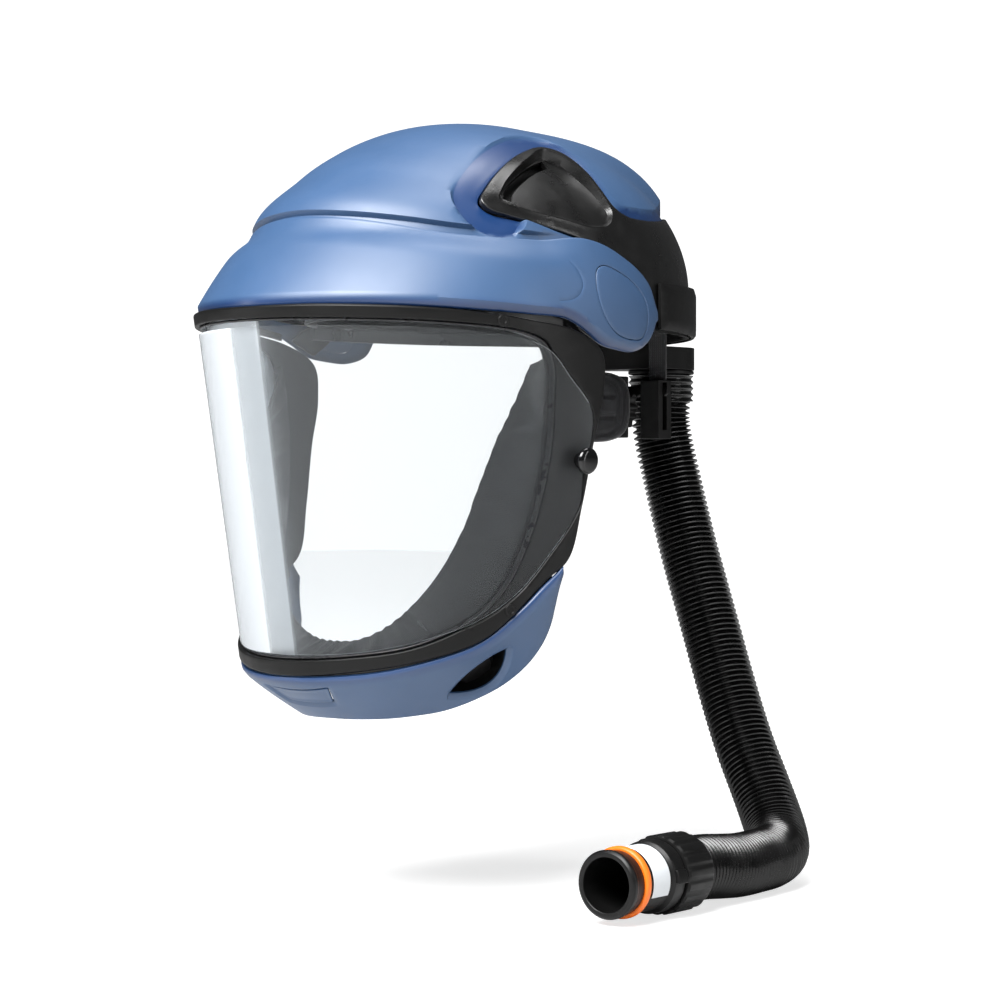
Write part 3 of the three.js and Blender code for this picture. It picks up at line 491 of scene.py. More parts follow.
def clear(name, tint_and_painted_shade, haze, rough, index):
    """Thin clear plastic: it lets light straight through and mirrors by its angle."""
    look = Look(name, (0.9, 0.93, 0.96, 1), rough)
    mist = look.ranged(look.noise(9), haze * 0.7, haze * 1.3, 0, 1)
    mix = look.node("MixShader")
    look.link(look.combine(mist, look.node("Fresnel", IOR=index).outputs["Fac"]), mix.inputs["Fac"])
    look.link(look.node("BsdfTransparent", Color=tint_and_painted_shade).outputs["BSDF"], mix.inputs[1])
    look.link(look.shader.outputs["BSDF"], mix.inputs[2])
    look.link(mix.outputs["Shader"], look.tree.nodes["Material Output"].inputs["Surface"])
    return look.mat


CLEAR = clear("clear_lens", (0.95, 0.96, 0.965, 1), 0.008, 0.03, 1.38)
FILM = clear("clear_film", (0.95, 0.957, 0.96, 1), 0.006, 0.05, 1.2)


def cloth(name, color, rib, depth=0.00012, uv=True):
    """Plain weave: along the piece's flat coordinates in millimetres, or through space."""
    look = Look(name, color, 0.85, Sheen_Weight=0.35, Sheen_Roughness=0.5)
    place = look.node("UVMap", uv_map="flat").outputs["UV"] if uv else look.node("TexCoord").outputs["Object"]
    waves = []
    for direction in ("X", "Y"):
        wave = look.node("TexWave", wave_type="BANDS", bands_direction=direction, wave_profile="SIN",
                         Scale=rib if uv else rib / MM, Distortion=0.4)
        look.link(place, wave.inputs["Vector"])
        waves.append(wave.outputs["Fac"])
    over = look.combine(*waves, "MULTIPLY")
    look.vary_color(over, dim(color, 1.9), 0.1, 0.9)
    look.bump(over, depth)
    look.bump(look.noise(60, 3), 0.0002)
    return look.mat


CLOTH = cloth("black_cloth", linear(19, 19, 21), 0.32)
WEBBING = cloth("black_webbing", linear(22, 22, 24), 0.22)
PADDING = cloth("pad_cloth", linear(30, 30, 33), 0.5, depth=0.00008, uv=False)


# ---------- helmet ----------
DOME = dict(cy=2.0, cz=10.0, a=98.0, b=135.5, c=87.0)
LINER = dict(cy=2.0, cz=10.0, a=86.0, b=120.0, c=75.0)
SKIN, LINER_WALL = 2.5, 2.0
DOME_FRONT_Z, DOME_REAR_Z, KINK_Y = 12.0, -14.0, -24.0
RIM_R = 100.0      # flat radius of a dome's widest line


def dome_surface(size):
    """Dome over a disc: stereographic to its widest line, then straight down one for one."""
    def point(q):
        r = np.maximum(np.linalg.norm(q, axis=-1), 1e-9)
        way = q / r[..., None]
        k = np.minimum(r / RIM_R, 1)
        flat = 2 * k / (1 + k * k)
        z = size["cz"] + size["c"] * (1 - k * k) / (1 + k * k) - np.maximum(r - RIM_R, 0)
        return np.stack([size["a"] * flat * way[..., 0], size["cy"] + size["b"] * flat * way[..., 1], z], -1)
    return Surface(point, (0, size["cy"], -10))


def side_to_flat(line, side):
    """Flat coordinates on the dome of side-view points (y, z), cut off at the middle plane."""
    size = DOME
    out = []
    last = None
    for y, z in line:
        ny = (y - size["cy"]) / size["b"]
        nz = max((z - size["cz"]) / size["c"], 0)
        left = 1 - ny * ny - nz * nz
        if left < 0:
            if last is None:
                continue
            t = last[2] / (last[2] - left)
            ny, nz, left = last[0] + (ny - last[0]) * t, last[1] + (nz - last[1]) * t, 0.0
        nx = math.sqrt(left)
        k = math.sqrt((1 - nz) / (1 + nz)) * RIM_R
        reach = math.hypot(nx, ny)
        k += max(size["cz"] - z, 0) if z < size["cz"] else 0
        out.append((side * k * nx / reach, k * ny / reach))
        if left == 0:
            break
        last = (ny, nz, left)
    return np.array(out)


def dome_flat(points):
    """Flat coordinates of points near a dome."""
    up = np.clip((points[:, 2] - DOME["cz"]) / DOME["c"], 0, 1)
    way = np.stack([points[:, 0] / DOME["a"], (points[:, 1] - DOME["cy"]) / DOME["b"]], 1)
    k = np.sqrt((1 - up) / (1 + up)) * RIM_R
    return way * (k / np.linalg.norm(way, axis=1))[:, None]


def bearing(points):
    """Turn of points round the vertical axis, from the front towards the wearer's left."""
    return np.arctan2(points[:, 0], -points[:, 1])


def rim_arc(radius, start, end, gap=1.6):
    """Points on a circle of the flat disc, turns in degrees from the front towards the left."""
    n = max(int(abs(end - start) * math.radians(1) * radius / gap), 2)
    t = np.radians(np.linspace(start, end, n + 1))
    return np.stack([radius * np.sin(t), -radius * np.cos(t)], 1)


WING = smooth_line([
    (KINK_Y, 30.6), (-44, 35.6), (-60, 39.8), (-68, 42.6), (-70.5, 47), (-62, 56.5), (-46, 67.5),
    (-27, 76), (-7, 80.5), (4, 77.5), (9, 68), (11, 58), (14, 50), (22, 45.6), (42, 44.6),
    (66, 46.5), (94, 51), (150, 57)], 1.0)
FAN = [(-61, 47.5), (-55.5, 55), (-44, 63.5), (-28, 72), (-9, 78.4), (0.5, 73.5), (6, 63), (8.6, 53),
       (9.4, 45.5), (4, 39.2), (-9, 36.4), (-30, 39.6), (-50, 43.6)]


def side_shift(line, distance):
    along = np.gradient(line, axis=0)
    side = np.stack([along[:, 1], -along[:, 0]], 1)
    return line + side / np.linalg.norm(side, axis=1)[:, None] * distance


def both(line):
    """A side-view line on the dome's left and on its right."""
    return [side_to_flat(line, side) for _, side in SIDES]


def flat_turn(y, z):
    """Turn in degrees and flat radius of a side-view point on the dome."""
    q = side_to_flat([(y, z)], 1)[0]
    return math.degrees(math.atan2(q[0], -q[1])), float(np.hypot(*q))


def clip_line(line, loop, holes):
    """The longest stretch of a flat line that runs inside a loop and outside its holes."""
    good = inside(loop, line)
    for hole in holes:
        good &= ~inside(hole, line)
    best, run = (0, 0), None
    for i, g in enumerate(list(good) + [False]):
        if g and run is None:
            run = i
        if not g and run is not None:
            if i - run > best[1] - best[0]:
                best = (run, i)
            run = None
    return line[best[0]:best[1]]


def clipped(lines, loop, holes=()):
    cut = [clip_line(line, loop, holes) for line in lines]
    return [line for line in cut if len(line) > 2]


def finish_piece(piece, body, nodes):
    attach(piece, body)
    if nodes:
        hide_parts(*nodes)
    return piece


MOAT = 13.0          # width of the dished channel round the wing's nose
NOSE = WING[(WING[:, 0] > -72) & (WING[:, 0] < 12.5) & (WING[:, 1] > 41)]
FACET = 7.0          # width of the spine's sloping side
CREASE = 2.9         # step of the crown above the brow's upper edge


def crown():
    dome = dome_surface(DOME)
    left = side_to_flat(WING, 1)
    right = mirrored(left)[1:]
    turn, radius = flat_turn(KINK_Y, DOME_FRONT_Z)
    up = side_to_flat([(KINK_Y, z) for z in np.arange(DOME_FRONT_Z + 1.5, 30, 1.5)], 1)
    loop = np.vstack([rim_arc(radius, -turn, turn), up, left, right, mirrored(up)])
    lines = [even(dome.shift(side_to_flat(NOSE, side), -(MOAT + k) * side), 1.0)
             for side in (1, -1) for k in (0, 0.5, 1.2, 2.2)]
    rear = side_to_flat(WING[WING[:, 0] > 8], 1)
    for k in (FACET - 0.5, FACET, FACET + 0.6):
        half = dome.shift(rear, -k)
        half = half[half[:, 0] > 1.5]
        lines.append(np.vstack([half, mirrored(half)]))
    lines += [dome.shift(left * (side, 1), -k * side)[:-3] for side in (1, -1) for k in (0.12, 0.45, 0.9)]
    crease = brow_surface().point(np.stack([np.linspace(-180, 180, 361), np.zeros(361)], 1))
    crease = crease[crease[:, 1] < KINK_Y]
    lines += [dome_flat(crease + (0, 0, k)) for k in (0.5, 0.9, 1.3, 1.8)]
    flat, p = cut(dome, loop, [], lines, 2.0)
    to_edge = far_from(p, dome.point(np.vstack([left, right])))
    near = np.minimum(*(far_from(p, dome.point(line)) for line in both(NOSE)))
    x, y, z = np.abs(p[:, 0]), p[:, 1], p[:, 2]
    above = z - np.interp(bearing(p), bearing(crease), crease[:, 2])
    shelf = CREASE * (1 - smoothstep(above, 4, 32))
    shelf -= 1.5 * smoothstep(above, 5, 25) * (1 - smoothstep(above, 32, 60))
    shelf *= smoothstep(above, 0.5, 1.8) * (1 - smoothstep(y, -60, -30))
    moat = (1 - smoothstep(near, MOAT - 0.1, MOAT + 2.2)) * (1 - smoothstep(y, 0, 15))
    spine = smoothstep(y, 10, 100) * (1 - smoothstep(x, 36, 62)) * smoothstep(z, 36, 50)
    spine *= 1 - 0.45 * smoothstep(y, 92, 132)
    facet = np.clip(FACET - to_edge, 0, None) * 0.72 * smoothstep(y, 12, 40)
    facet *= 1 - 0.35 * smoothstep(x, 40, 60)
    height = 9 * spine - moat * (2.9 - 1.2 * smoothstep(near, 0, MOAT)) + shelf * (1 - moat)
    height = np.maximum(height - facet, -1.2 - 2 * moat) - round_drop(to_edge, 0.9) * 0.8
    # Painted shade: the deeper blue goes into the recessed channel round the wing's nose and onto the spine's
    # down-turned facet.
    tint_and_painted_shade = (1 - smoothstep(near, MOAT - 0.3, MOAT + 0.9)) * (1 - smoothstep(y, 9, 15))
    tint_and_painted_shade = np.maximum(tint_and_painted_shade, smoothstep(facet, 0.05, 0.5))
    piece = patch("crown_shell", dome, flat, height, SKIN + 2.3 * moat, BLUE, 38, tint_and_painted_shade)
    finish_piece(piece, "headtop", ["crown_cover"])


def rear_cover():
    dome = dome_surface(DOME)
    left = side_to_flat(side_shift(WING, GAP), 1)
    turn = flat_turn(KINK_Y + GAP, DOME_REAR_Z)[0]
    rise = side_to_flat([(KINK_Y + GAP, z) for z in np.arange(DOME_REAR_Z, 29.5, 1.5)], 1)
    back = rim_arc(RIM_R + DOME["cz"] - DOME_REAR_Z, 360 - turn, turn, 2.5)[1:-1]
    loop = np.vstack([rise, left, mirrored(left)[1:], mirrored(rise), back])
    fan = smooth_line(FAN, 1.1, True)
    lower = np.array([(-61, 47), (-50, 43.6), (-30, 39.6), (-9, 36.4), (2, 37)])
    front = smooth_line(FAN[:5], 1.0)
    slot = np.vstack([side_shift(front, 1.4)[2:-3], side_shift(front, 5.2)[3:-6][::-1]])
    holes = [h for outline in (slot, ring_line(5.35, 23)) for h in both(outline)]
    lines = []
    for side in (1, -1):
        lines += ridges(dome, side_to_flat(fan, side), (0.45, 0, -0.5, -1.1, -2.0))
        lines += [dome.shift(left * (side, 1), k * side)[:-3] for k in (0.12, 0.45, 0.9)]
    flat, p = cut(dome, loop, holes, lines, 2.2)
    on_side = np.abs(p[:, 0]) > 30
    seen = p[:, 1:]
    from_rim = far_from(seen, fan, True)
    fall = 5.2 * np.clip(far_from(seen, lower) / 30, 0, 1) ** 0.8
    recess = np.where(inside(fan, seen) & on_side, fall * smoothstep(from_rim, 0, 1.1), 0)
    bead = 0.25 * (1 - smoothstep(from_rim, 0, 0.9)) * on_side
    to_edge = far_from(p, dome.point(np.vstack([left, mirrored(left)])))
    height = 0.6 - recess + bead - round_drop(to_edge, 0.9)
    piece = patch("rear_shell", dome, flat, height, SKIN + recess * 0.9, GRAIN_BLACK, 40)
    finish_piece(piece, "headtop", ["rear_cover"])


def ellipse_band(a, b, cy):
    """Upright band round a plan ellipse: flat x is two millimetres a degree, flat y is z."""
    def point(q):
        t = np.radians(q[..., 0] / 2)
        return np.stack([a * np.sin(t), cy - b * np.cos(t), q[..., 1]], -1)
    return Surface(point, (0, cy, 0))


def band_loop(start, end, low, high):
    """Flat outline of a band between two turns, with its corners rounded."""
    gap = 1.6
    t = np.linspace(0, 1, int((end - start) * 2 / gap))
    x = 2 * (start + (end - start) * t)
    top = np.stack([x, high(t)], 1)
    foot = np.stack([x, low(t)], 1)[::-1]
    return even(np.vstack([top, foot]), gap, True)


def rear_band():
    band = ellipse_band(102.4, 141.2, 1.6)
    loop = band_loop(106, 254, lambda u: -15 + 2 * abs(2 * u - 1), lambda u: 14 - 3 * abs(2 * u - 1))
    flat, p = cut(band, loop, [], ridges(band, loop, [1.1 * k for k in ROUND_LINES]), 3.0)
    piece = patch("rear_belt", band, flat, -eased(p, band, loop, 1.1), 2.8, SATIN_BLACK, 40)
    finish_piece(piece, "headtop", ["rear_band"])


def liner():
    dome = dome_surface(LINER)
    flat = flat_mesh(rim_arc(RIM_R + 18, 0, 360, 3)[:-1], [], [], 3.4)
    q = flat[0]
    turn = np.arctan2(q[:, 0], -q[:, 1])
    rib = 0.7 * np.clip(np.cos(turn * 12) * 4 - 3, 0, 1) * smoothstep(np.linalg.norm(q, axis=1), 30, 45)
    piece = patch("duct_shell", dome, flat, 0, LINER_WALL + rib, MATTE_BLACK, 40)
    finish_piece(piece, "headtop", ["duct_liner"])


# ---------- brow band ----------
BROW_TOP = [
    (0, -127.2, 39.6), (28, -122.7, 38.2), (55, -109, 35.2), (73, -92, 32.3), (87, -70, 30.6),
    (94.5, -48, 30), (98.6, -26, 30.4), (100.6, -11, 28), (101.4, 4, 22.6), (101.6, 18, 15.5),
    (101, 27, 8), (100.2, 32, -2)]
BROW_MID = [
    (0, -145.6, 18), (35, -140, 17.4), (66, -121.5, 16), (87, -99.5, 14.8), (99, -76, 13.4),
    (105, -52, 11.8), (109.5, -28, 8), (111.5, -12, 4), (112, 1, 1), (110.5, 14, -3),
    (107, 25, -4), (103, 32.5, -5)]
BROW_LOW = [
    (0, -163.5, -4.6), (42, -152, -5), (75, -127.5, -6), (95, -99, -7.6), (105.5, -68, -9.4),
    (108.4, -44, -11), (109, -30, -17), (108.6, -18, -23.5), (107.4, -4, -26),
    (105.8, 11, -26.6), (103.4, 24, -22), (101.2, 32.6, -10)]
BROW_WALL = 2.4
BROW_DROP = 50.0     # flat height of the band
CAP = [(-23, 2), (-21, 13.5), (-15, 16.5), (-4, 14), (8, 8.5), (17, 0), (18.5, -10), (14, -18.5),
       (4, -20), (-10, -17), (-19, -9)]


def brow_surface():
    rows = [mirrored_curve([(-x, y, z) for x, y, z in points[::-1]])
            for points in (BROW_TOP, BROW_MID, BROW_LOW)]
    u = np.linspace(0, 1, 2001)
    run = travel(rows[1](u))
    run -= run[-1] / 2

    def point(q):
        at = np.interp(q[..., 0], run, u)
        v = np.clip(-q[..., 1] / BROW_DROP, 0, 1)[..., None]
        a, b, c = (row(at) for row in rows)
        return a * (1 - v) ** 2 + b * 2 * v * (1 - v) + c * v * v
    surface = Surface(point, (0, 0, 0))
    surface.reach = run[-1]
    return surface


def to_flat(surface, points, xs, ys, axes=(0, 1, 2)):
    """Flat coordinates of the surface points nearest to points, which are given along axes."""
    axes = list(axes)
    grid = np.stack(np.meshgrid(xs, ys), -1).reshape(-1, 2)
    seen = surface.point(grid)[:, axes]
    out = []
    for target in np.asarray(points, float):
        q = grid[np.argmin(((seen - target) ** 2).sum(1))].astype(float)
        for _ in range(4):
            base = surface.point(q[None])[0, axes]
            jac = np.stack([(surface.point((q + d)[None])[0, axes] - base) / 0.1
                            for d in (np.array([0.1, 0]), np.array([0, 0.1]))], 1)
            q = q + np.linalg.lstsq(jac, target - base, rcond=None)[0]
        out.append(q)
    return np.array(out)


def brow_flat(surface, line, side):
    """Flat coordinates on the brow band of side-view points (y, z)."""
    xs, ys = np.linspace(40, surface.reach, 500), np.linspace(-BROW_DROP, 0, 120)
    return to_flat(surface, line, xs, ys, (1, 2)) * (side, 1)


BROW_CREST = 3.4     # height of the bevelled lip along the lower edge


def gasket(name, turn, heights, sink, thick, middle):
    """Dark strip inside the visor's surface, through rows of heights at each turn."""
    flat = np.array([np.stack([turn * DEGREE, z], 1) for z in heights])
    points = np.array([VISOR.point(q) - VISOR.normal(q) * sink for q in flat])
    finish_piece(grid_shell(name, points, thick, RUBBER, middle, 50, flat), "visor", ())


def brow_gasket():
    """Closes the joint between the visor's frame and the brow band."""
    turn = np.linspace(-84, 84, 169)
    edge = edge_line([p for p in FRAME_HALF if p[1] > -27])(np.abs(turn)) + 0.5
    gasket("brow_joint", turn, [edge + k for k in (3.6, 2.7, 1.8, 0.9, 0)], 3.8, 1.6, (0, -40, -60))


def above_dome(p):
    """Rough height of points above the helmet's dome."""
    d = p - (0, DOME["cy"], DOME["cz"])
    d[:, 2] = np.maximum(d[:, 2], 0)
    size = np.array([DOME["a"], DOME["b"], DOME["c"]])
    f = np.sqrt(((d / size) ** 2).sum(1))
    return (f - 1) * f / np.linalg.norm(d / size ** 2, axis=1)


def brow():
    surface = brow_surface()
    ends = surface.reach
    x = np.arange(-ends, ends, 1.6)
    top = np.stack([x, 0 * x], 1)
    side = np.stack([[ends] * 28, np.linspace(0, -BROW_DROP, 28)], 1)
    foot = np.stack([x[::-1], 0 * x - BROW_DROP], 1)
    loop = np.vstack([top[1:], side, foot[1:-1], mirrored(side)])
    caps = [brow_flat(surface, smooth_line(CAP, 0.9, True), s) for _, s in SIDES]
    arc = smooth_line([(-38, 18), (-34, 12.5), (-32.8, 6), (-36, 1), (-42, -2), (-50, -3)], 0.8)
    arcs = [brow_flat(surface, arc, s) for _, s in SIDES]
    holes = [grow(surface, c, 0.25) for c in caps]
    lines = [line for hole in holes for line in ridges(surface, hole, (0.1, 0.3, 0.6))]
    lines += [surface.shift(a, k) for k in (-0.5, -0.25, 0, 0.25, 0.5) for a in arcs]
    lines += ridges(surface, loop, (-0.1, -0.4, -0.8))
    for k in (BROW_CREST - 0.4, BROW_CREST, BROW_CREST + 0.5):
        lines += [surface.shift(foot[3:-3], k), surface.shift(foot[3:-3], -k)]
    lines += [top[3:-3] - (0, k) for k in (2.0, 4.5, 8.0)]
    flat, p = cut(surface, loop, holes, lines, 2.2)
    to_top = far_from(p, surface.point(top))
    to_foot = far_from(p, surface.point(foot))
    height = -eased(p, surface, loop, 0.8)
    clear_of = above_dome(p)
    sink = np.clip(clear_of - 1.9, 0, 3.4) * (1 - smoothstep(to_top, 0, 20)) ** 1.3
    sink *= 1 - smoothstep(p[:, 1], -52, -22)
    lip = np.clip(BROW_CREST - to_foot, 0, None)
    height = height - sink - 0.85 * lip
    for hole in holes:
        height = height - eased(p, surface, hole, 0.45)
    for a in arcs:
        height = height - 0.16 * (1 - smoothstep(far_from(p, surface.point(a)), 0, 0.45))
    depth = BROW_WALL + sink * 0.75 + 0.5 * lip
    depth = np.where(sink > 0.05, np.minimum(depth, np.maximum(clear_of - 0.25, 0.5 - height)), depth)
    # Painted shade: the deeper blue goes along the bevelled lower lip, which faces down.
    tint_and_painted_shade = 1 - smoothstep(to_foot, BROW_CREST - 0.2, BROW_CREST + 0.3)
    piece = patch("brow_shell", surface, flat, height, depth, BLUE, 38, tint_and_painted_shade)
    brow_gasket()
    finish_piece(piece, "visor", ["brow_band"])
    for (name, _), loop in zip(SIDES, caps):
        flat, p = cut(surface, loop, [], ridges(surface, loop, (-0.1, -0.35, -0.7)), 1.8)
        piece = patch(f"pivot_cap_{name}", surface, flat, -eased(p, surface, loop, 0.7), BROW_WALL, BLUE, 38)
        finish_piece(piece, "visor", [f"hinge_cap_{name}"])


# ---------- visor ----------
RING_TOP = dict(z=-10.0, w=106.0, d=132.0, cy=-29.5)
RING_LOW = dict(z=-185.0, w=95.0, d=124.5, cy=-9.5)
DEGREE = 2.05        # flat millimetres for a degree round the visor
FRAME_WALL, FRAME_RAISE, SIDE_RAISE, LENS_WALL, LENS_LAP = 3.0, 2.4, 1.25, 1.5, 4.0
WINDOW_HALF = [
    (0, -12.6), (26, -13.2), (54, -15), (70, -18), (77, -23), (79.6, -34), (79.4, -50), (78, -76),
    (72, -116), (64, -145), (57, -158), (47, -168), (37, -174), (20, -178), (0, -179.5)]
FRAME_HALF = [
    (0, -6.5), (26, -6.5), (54, -8.6), (74, -13), (86, -17), (94.5, -26), (95, -46), (91, -72),
    (86.5, -104), (81.5, -131), (74, -142), (57, -169.5), (42, -179), (22, -185), (0, -187.5)]
FILM_HALF = [
    (0, -16.5), (30, -17), (55, -18.5), (71, -22), (78, -27), (84, -40), (90.5, -56), (90, -72),
    (87.2, -86), (85.6, -104), (76, -128), (66, -148), (54, -162), (30, -174), (0, -177)]
PEG = (85.5, -81)


def ring_point(turn, z):
    k = (z - RING_TOP["z"]) / (RING_LOW["z"] - RING_TOP["z"])
    w, d, cy = (RING_TOP[n] * (1 - k) + RING_LOW[n] * k for n in ("w", "d", "cy"))
    t = np.radians(turn)
    return np.stack([w * np.sin(t), cy - d * np.cos(t), z + 0 * t], -1)


VISOR = Surface(lambda q: ring_point(q[..., 0] / DEGREE, q[..., 1]), (0, -20, -95))


def visor_outline(half):
    """Closed flat outline on the visor from one half of it, (turn, height)."""
    line = smooth_line(half + [(-a, z) for a, z in half[-2:0:-1]], 0.6, True)
    return even(line * (DEGREE, 1), 1.3, True)


WINDOW = visor_outline(WINDOW_HALF)
FRAME = visor_outline(FRAME_HALF)
FILM_EDGE = visor_outline(FILM_HALF)


def visor_layer(depth):
    """The visor's surface, moved inwards."""
    return Surface(lambda q: VISOR.point(q) - VISOR.normal(q) * depth, VISOR.middle)


def visor_parts():
    hole, film = grow(VISOR, WINDOW, GAP), grow(VISOR, FILM_EDGE, 0.6)
    lines = ridges(VISOR, FRAME, (-0.13, -0.5, -1.0)) + ridges(VISOR, hole, (0.1, 0.35, 0.7))
    flat, p = cut(VISOR, FRAME, [hole], lines + ridges(VISOR, film, (-0.15, 0.15, 0.5)), 2.0)
    turn, z = np.abs(flat[0][:, 0]) / DEGREE, flat[0][:, 1]
    strip_on = np.maximum(smoothstep(z, -30, -22), 1 - smoothstep(z, -160, -140))
    strip_on *= 1 - smoothstep(turn, 80, 92)
    beyond = np.where(inside(film, flat[0]), -1, 1) * far_from(p, VISOR.point(film), True)
    height = (SIDE_RAISE + (FRAME_RAISE - SIDE_RAISE) * strip_on) * smoothstep(beyond, -0.2, 0.3)
    height = height - eased(p, VISOR, FRAME, 1.0) - 0.8 * eased(p, VISOR, hole, 0.7)
    piece = patch("visor_bezel", VISOR, flat, height, FRAME_WALL, MATTE_BLACK, 38)
    finish_piece(piece, "visor", ["visor_frame"])

    flat = flat_mesh(grow(VISOR, WINDOW, LENS_LAP), [], [], 3.2)
    piece = patch("visor_pane", visor_layer(FRAME_WALL + 2 * GAP), flat, 0, LENS_WALL, CLEAR)
    finish_piece(piece, "visor", ["visor_lens"])

    inner = grow(VISOR, WINDOW, -1.3)
    flat = flat_mesh(WINDOW, [inner], clipped(ridges(VISOR, WINDOW, (-0.4, -0.9)), WINDOW), 1.0)
    p = VISOR.point(flat[0])
    edge = np.minimum(far_from(p, VISOR.point(WINDOW), True), far_from(p, VISOR.point(inner), True))
    piece = patch("window_bead", VISOR, flat, 0.15 - round_drop(edge, 0.6), FRAME_WALL, GASKET, 60)
    finish_piece(piece, "visor", ["lens_seal"])

    rim, bore = grow(VISOR, WINDOW, LENS_LAP + 1.6), grow(VISOR, WINDOW, -0.9)
    flat, p = cut(VISOR, rim, [bore], ridges(VISOR, bore, (0.5,)), 2.6)
    layer = visor_layer(FRAME_WALL + LENS_WALL + 3 * GAP)
    piece = patch("lens_retainer", layer, flat, -eased(p, VISOR, bore, 0.5), 1.6, MATTE_BLACK)
    finish_piece(piece, "visor", ())

    flat = flat_mesh(FILM_EDGE, [], ridges(VISOR, FILM_EDGE, (-0.5,)), 3.4)
    piece = patch("tear_off_film", visor_layer(-GAP), flat, 0.5, 0, FILM)
    finish_piece(piece, "visor", ["visor_film"])


def spin(profile, steps, name, paint, sharp):
    """Lathe of a profile [r, z] about Z that closes on itself, as a piece at the origin."""
    prof = np.asarray(profile, float)
    t = np.linspace(0, 2 * math.pi, steps, endpoint=False)
    pts, faces, ids = [], [], []
    for r, z in prof:
        if r < 1e-6:
            ids.append([len(pts)] * steps)
            pts.append((0, 0, z))
        else:
            ids.append(list(range(len(pts), len(pts) + steps)))
            pts += [(r * math.cos(a), r * math.sin(a), z) for a in t]
    n = len(prof)
    for i in range(n):
        a, b = ids[i], ids[(i + 1) % n]
        for k in range(steps):
            m = (k + 1) % steps
            quad = [a[k], a[m], b[m], b[k]]
            face = [v for j, v in enumerate(quad) if v != quad[j - 1]]
            if len(face) > 2:
                faces.append(face)
    area = sum(r0 * z1 - r1 * z0 for (r0, z0), (r1, z1) in zip(prof, np.roll(prof, -1, 0)))
    if area < 0:
        faces = [f[::-1] for f in faces]
    return new_piece(name, pts, faces, paint, sharp)


def place(piece, matrix):
    """Bakes a placement, its shift in millimetres, into a piece's mesh."""
    m = Matrix(matrix)
    m.translation = m.translation * MM
    piece.data.transform(m)
    return piece


def aim(axis, at):
    """Placement that turns +Z to axis and moves the origin to at."""
    turn = Vector((0, 0, 1)).rotation_difference(Vector(axis)).to_matrix().to_4x4()
    turn.translation = Vector(at)
    return turn


def soften(profile, radius, steps=3):
    """Rounds the corners of a closed [r, z] profile, except those on the axis."""
    out = []
    n = len(profile)
    for i, p in enumerate(profile):
        a, b = np.array(profile[i - 1], float), np.array(profile[(i + 1) % n], float)
        p = np.array(p, float)
        da, db = np.linalg.norm(a - p), np.linalg.norm(b - p)
        if p[0] < 1e-6 or da < 1e-6 or db < 1e-6:
            out.append(tuple(p))
            continue
        r = min(radius, 0.45 * da, 0.45 * db)
        s, e = p + (a - p) / da * r, p + (b - p) / db * r
        for k in range(steps + 1):
            t = k / steps
            out.append(tuple(s * (1 - t) ** 2 + p * 2 * t * (1 - t) + e * t * t))
    return out


def on_visor(turn, z, offset):
    q = np.array([[turn * DEGREE, z]])
    out = VISOR.normal(q)[0]
    return aim(out, VISOR.point(q)[0] + out * offset)


def turned(name, profile, steps, paint, spot, body, nodes, sharp=30):
    """A lathe piece, put where it belongs and declared."""
    return finish_piece(place(spin(profile, steps, name, paint, sharp), spot), body, nodes)


def visor_small_parts():
    film = 0.8
    peg = soften([(0, 0), (4, 0), (4, 3.4), (6.6, 4.5), (6.8, 6.5), (5.4, 8.1), (0, 8.5)], 0.9, 4)
    screw = soften([(0, 0), (3.1, 0), (3.1, 0.7), (2.2, 1.1), (1.5, 1.1), (1.3, 0.6), (0, 0.5)], 0.25)
    for name, side in SIDES:
        turned(f"peg_{name}", peg, 72, GLOSS_BLACK, on_visor(side * PEG[0], PEG[1], 2 * GAP + film),
               "visor", [f"film_peg_{name}"])
        for level, turn, z in (("top", 66, -13.6), ("low", 64.5, -155)):
            spot = on_visor(side * turn, z, FRAME_RAISE - 0.5)
            turned(f"screw_{level}_{name}", screw, 40, MATTE_BLACK, spot,
                   "visor", [f"frame_screw_{level}_{name}"])


# ---------- chin guard ----------
CHIN_TOP = [(0, -188.7), (14, -188.1), (31, -185.2), (47, -178), (57, -170.5), (68, -154), (74, -143.5),
            (80, -134)]
CHIN_LOW = [(0, -214.8), (18, -214.6), (35, -213), (49, -209), (62, -198), (71, -184), (77, -167), (80, -144)]
CHIN_END = 80.0
CHIN_WALL = 3.0
CHIN_TALL = 27.0     # flat height of the guard
CHIN_SLOT = dict(turn=58.5, v=0.68, length=36.0, height=20.0, climb=30.0)
BADGE = dict(v=0.46, top=22.0, low=16.0, height=12.0)


def edge_line(pairs):
    first = [(-pairs[1][0], pairs[1][1])]
    line = Curve(first + pairs)(np.linspace(0, 1, 3001))
    return lambda turn: np.interp(turn, line[:, 0], line[:, 1])


def chin_surface():
    top, low = edge_line(CHIN_TOP), edge_line(CHIN_LOW)

    def point(q):
        turn = q[..., 0] / DEGREE
        side = np.minimum(np.abs(turn), CHIN_END)
        v = np.clip(-q[..., 1] / CHIN_TALL, 0, 1)
        tuck = 28 - 21 * smoothstep(side, 40, CHIN_END)
        z = (top(side) - GAP) * (1 - v) + low(side) * v
        on_ring = np.stack([turn * DEGREE, z], -1)
        return VISOR.point(on_ring) + VISOR.normal(on_ring) * (3.2 - tuck * v ** 1.15)[..., None]
    return Surface(point, (0, -60, -150))


def slot_frame(surface):
    """Axes and centre of the left exhalation slot: along it, across it and out."""
    q = np.array([[CHIN_SLOT["turn"] * DEGREE, -CHIN_SLOT["v"] * CHIN_TALL]])
    centre, out = surface.point(q)[0], surface.normal(q)[0]
    level = np.array([-out[1], out[0], 0])
    level /= np.linalg.norm(level)
    climb = math.radians(CHIN_SLOT["climb"])
    x = level * math.cos(climb) + np.cross(out, level) * math.sin(climb)
    return x, np.cross(out, x), out, centre


